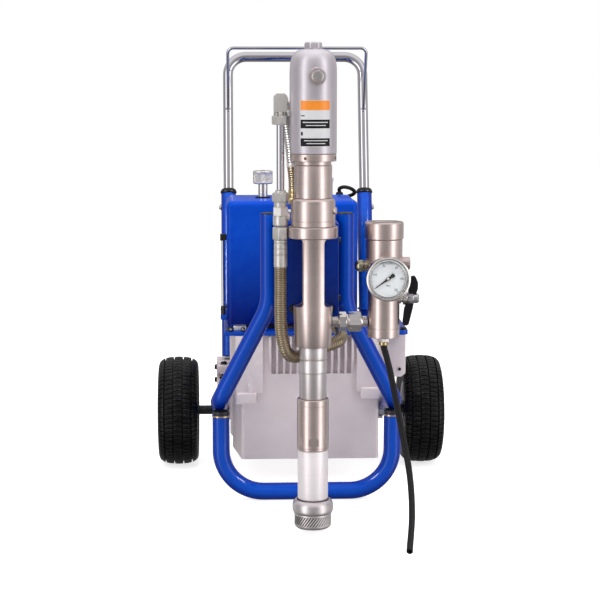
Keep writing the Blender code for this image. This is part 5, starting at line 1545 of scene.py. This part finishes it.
# drain tube
lo, hi = B("drain_tube")
p = Piece("vis_drain_tube")
p.put(hexnut(12.6, 391, 400.4, C0, "Z", 1.6, phase=0.3), BRIGHT)
p.put(lathe(soft([(0, 384), (9.4, 384), (9.4, 391.4), (0, 391.4)], 0.8), C0, "Z", 48), BRASS)
dr = spline([(145, -238, 388), (147, -238, 376), (151, -238, 362), (163, -240, 312), (183, -250, 207), (196, -285, 125), (193, -360, 62), (178, -455, 13)], 16)
p.put(sweep(resample(dr, 3.0), 6.5, 32, inner=3.6), RUBBER)
p.done("drain_tube", slot="rubber")

# ---------------------------------------------------------------------------------
# handle and hose rack
# ---------------------------------------------------------------------------------
lo, hi = B("handle_tube")
ztop = hi[2] - 12.5 * math.cos(LEAN)
low_l, low_r = lean_point(-170, 462), lean_point(170, 462)
top_l, top_r = lean_point(-170, 983), lean_point(170, 983)
p = Piece("vis_handle_tube", "handle")
p.put(sweep(resample(fillet([low_l, top_l, top_r, low_r], [46, 46], 24), 6.0), 12.5, 56, ref=(1, 0, 0), inner=10.8), CHROME)
p.done("handle_tube", slot="chrome")
p = Piece("vis_hose_rack", "handle")
a, b = lean_point(-170, 853, -16.6), np.array((-170.0, 500.0, 1002.0))
a2, b2 = lean_point(170, 853, -16.6), np.array((170.0, 500.0, 1002.0))
p.put(sweep(resample(fillet([a, b, b2, a2], [14, 14], 12), 4.0), 3.9, 32, ref=(1, 0, 0), round_ends=1.5), CHROME)
for s, q in ((-1, a), (1, a2)):
    p.put(bead(circle_path(q + np.array((0, 0.6, 0)), (0, -0.9, 0.4), 4.6, 24), 1.3, 2.4, 8), CHROME)
p.done("hose_rack", slot="chrome")

# ---------------------------------------------------------------------------------
# floor, light, camera
# ---------------------------------------------------------------------------------
scene = bpy.context.scene
scene.view_settings.view_transform = "Standard"
scene.view_settings.look = "None"
scene.view_settings.exposure = 0.0
scene.view_settings.gamma = 1.0

floor_bm = bmesh.new()
bmesh.ops.create_grid(floor_bm, x_segments=4, y_segments=4, size=14.0)
fme = bpy.data.meshes.new("floor")
floor_bm.to_mesh(fme)
floor_bm.free()
floor = bpy.data.objects.new("floor", fme)
fm = Nodes("pale_floor")
fm.link(fm.mix(fm.noise(3.0, 3.0), (0.90, 0.90, 0.90), (0.93, 0.93, 0.93)), fm.bsdf.inputs["Base Color"])
fm.bsdf.inputs["Roughness"].default_value = 0.75
fm.bsdf.inputs["Specular IOR Level"].default_value = 0.0
fp = fm.t.nodes.new("ShaderNodeLightPath")
fm.bsdf.inputs["Emission Color"].default_value = (1, 1, 1, 1)
fm.link(fm.math("MULTIPLY", fp.outputs["Is Camera Ray"], 0.74), fm.bsdf.inputs["Emission Strength"])
fme.materials.append(fm.mat)
bpy.context.scene.collection.objects.link(floor)
floor.location = (0, 0, -0.0004)
floor.visible_glossy = False

world = bpy.data.worlds.new("studio")
scene.world = world
world.use_nodes = True
wt = world.node_tree
wt.nodes.clear()
out = wt.nodes.new("ShaderNodeOutputWorld")
tc = wt.nodes.new("ShaderNodeTexCoord")
sep = wt.nodes.new("ShaderNodeSeparateXYZ")
wt.links.new(tc.outputs["Generated"], sep.inputs["Vector"])


def wmath(op, a, b=None):
    n = wt.nodes.new("ShaderNodeMath")
    n.operation = op
    for i, x in enumerate((a, b)):
        if x is None:
            continue
        if isinstance(x, (int, float)):
            n.inputs[i].default_value = x
        else:
            wt.links.new(x, n.inputs[i])
    return n.outputs["Value"]


az = wmath("ARCTAN2", sep.outputs["X"], wmath("MULTIPLY", sep.outputs["Y"], -1.0))  # 0 faces the camera, positive to its right
turn = wmath("ADD", wmath("DIVIDE", az, TAU), 0.5)
ramp = wt.nodes.new("ShaderNodeValToRGB")
ramp.color_ramp.interpolation = "EASE"
stops = [(-180, 0.30), (-160, 0.34), (-138, 0.62), (-120, 0.56), (-100, 0.36), (-80, 0.34), (-62, 0.75), (-53, 2.9), (-47, 2.9), (-38, 0.9), (-18, 0.40), (4, 0.345), (26, 0.42), (42, 0.9),
         (51, 2.6), (58, 2.6), (69, 0.95), (90, 0.55), (112, 0.42), (138, 0.60), (160, 0.32), (180, 0.30)]
el = ramp.color_ramp.elements
el[0].position, el[0].color = 0.0, (0.075, 0.075, 0.076, 1)
el[1].position, el[1].color = 1.0, (0.075, 0.075, 0.076, 1)
for deg, v in stops[1:-1]:
    e = el.new((deg + 180) / 360)
    e.color = (v / 4, v / 4, v / 4 * 1.01, 1)
wt.links.new(turn, ramp.inputs["Fac"])
up = wt.nodes.new("ShaderNodeMapRange")
up.inputs["From Min"].default_value = 0.35
up.inputs["From Max"].default_value = 0.80
wt.links.new(sep.outputs["Z"], up.inputs["Value"])
mixn = wt.nodes.new("ShaderNodeMix")
mixn.data_type = "RGBA"
wt.links.new(up.outputs["Result"], mixn.inputs[0])
wt.links.new(ramp.outputs["Color"], mixn.inputs[6])
mixn.inputs[7].default_value = (0.24, 0.24, 0.245, 1)
down = wt.nodes.new("ShaderNodeMapRange")
down.inputs["From Min"].default_value = -0.35
down.inputs["From Max"].default_value = -0.75
wt.links.new(sep.outputs["Z"], down.inputs["Value"])
mixd = wt.nodes.new("ShaderNodeMix")
mixd.data_type = "RGBA"
wt.links.new(down.outputs["Result"], mixd.inputs[0])
wt.links.new(mixn.outputs[2], mixd.inputs[6])
mixd.inputs[7].default_value = (0.05, 0.05, 0.05, 1)


def glow(strength, colour=None, source=None):
    n = wt.nodes.new("ShaderNodeBackground")
    n.inputs["Strength"].default_value = strength
    if source:
        wt.links.new(source, n.inputs["Color"])
    else:
        n.inputs["Color"].default_value = colour
    return n.outputs["Background"]


lp = wt.nodes.new("ShaderNodeLightPath")


def choose(flag, no, yes):
    n = wt.nodes.new("ShaderNodeMixShader")
    wt.links.new(lp.outputs[flag], n.inputs["Fac"])
    wt.links.new(no, n.inputs[1])
    wt.links.new(yes, n.inputs[2])
    return n.outputs["Shader"]


soft_light = glow(0.36, (1, 1, 1, 1))
reflected = glow(4.0, source=mixd.outputs[2])
shown = choose("Is Camera Ray", choose("Is Glossy Ray", soft_light, reflected), glow(1.0, (1, 1, 1, 1)))
wt.links.new(shown, out.inputs["Surface"])
world.cycles.sampling_method = "NONE"


def area(name, loc, target, size, power, size_y=None):
    data = bpy.data.lights.new(name, "AREA")
    data.energy = power
    data.shape = "RECTANGLE"
    data.size = size
    data.size_y = size_y or size
    ob = bpy.data.objects.new(name, data)
    ob.location = loc
    ob.rotation_euler = (Vector(target) - Vector(loc)).to_track_quat("-Z", "Y").to_euler()
    ob.visible_glossy = False
    scene.collection.objects.link(ob)
    return ob


area("key", (-1.5, -2.4, 2.6), (0, 0, 0.5), 1.4, 33, 1.8)
area("fill", (1.9, -1.9, 1.9), (0, 0, 0.5), 1.2, 20, 1.6)
area("top", (0.0, -0.3, 3.0), (0, 0, 0.3), 2.4, 88)

# two softboxes seen only by the enamelled frame, for the crisp lines along the tubes
enamelled = bpy.data.collections.new("enamelled")
for ob in list(scene.objects):
    if ob.type in {"MESH", "CURVE"} and BLUE in list(ob.data.materials) and BLUE_PANEL not in list(ob.data.materials):
        enamelled.objects.link(ob)
for name, x in (("softbox_left", -1.9), ("softbox_right", 1.9)):
    softbox = area(name, (x, -1.1, 1.9), (0, 0, 0.35), 0.6, 38, 0.9)
    softbox.visible_glossy = True
    softbox.light_linking.receiver_collection = enamelled

cam_data = bpy.data.cameras.new("camera")
cam_data.lens = 94.98
cam_data.sensor_width = 36.0
cam = bpy.data.objects.new("camera", cam_data)
cam.location = (-0.165, -3.422, 0.903)
cam.rotation_euler = (math.radians(90 - 7.60), 0.0, math.radians(-2.51))
scene.collection.objects.link(cam)
scene.camera = cam
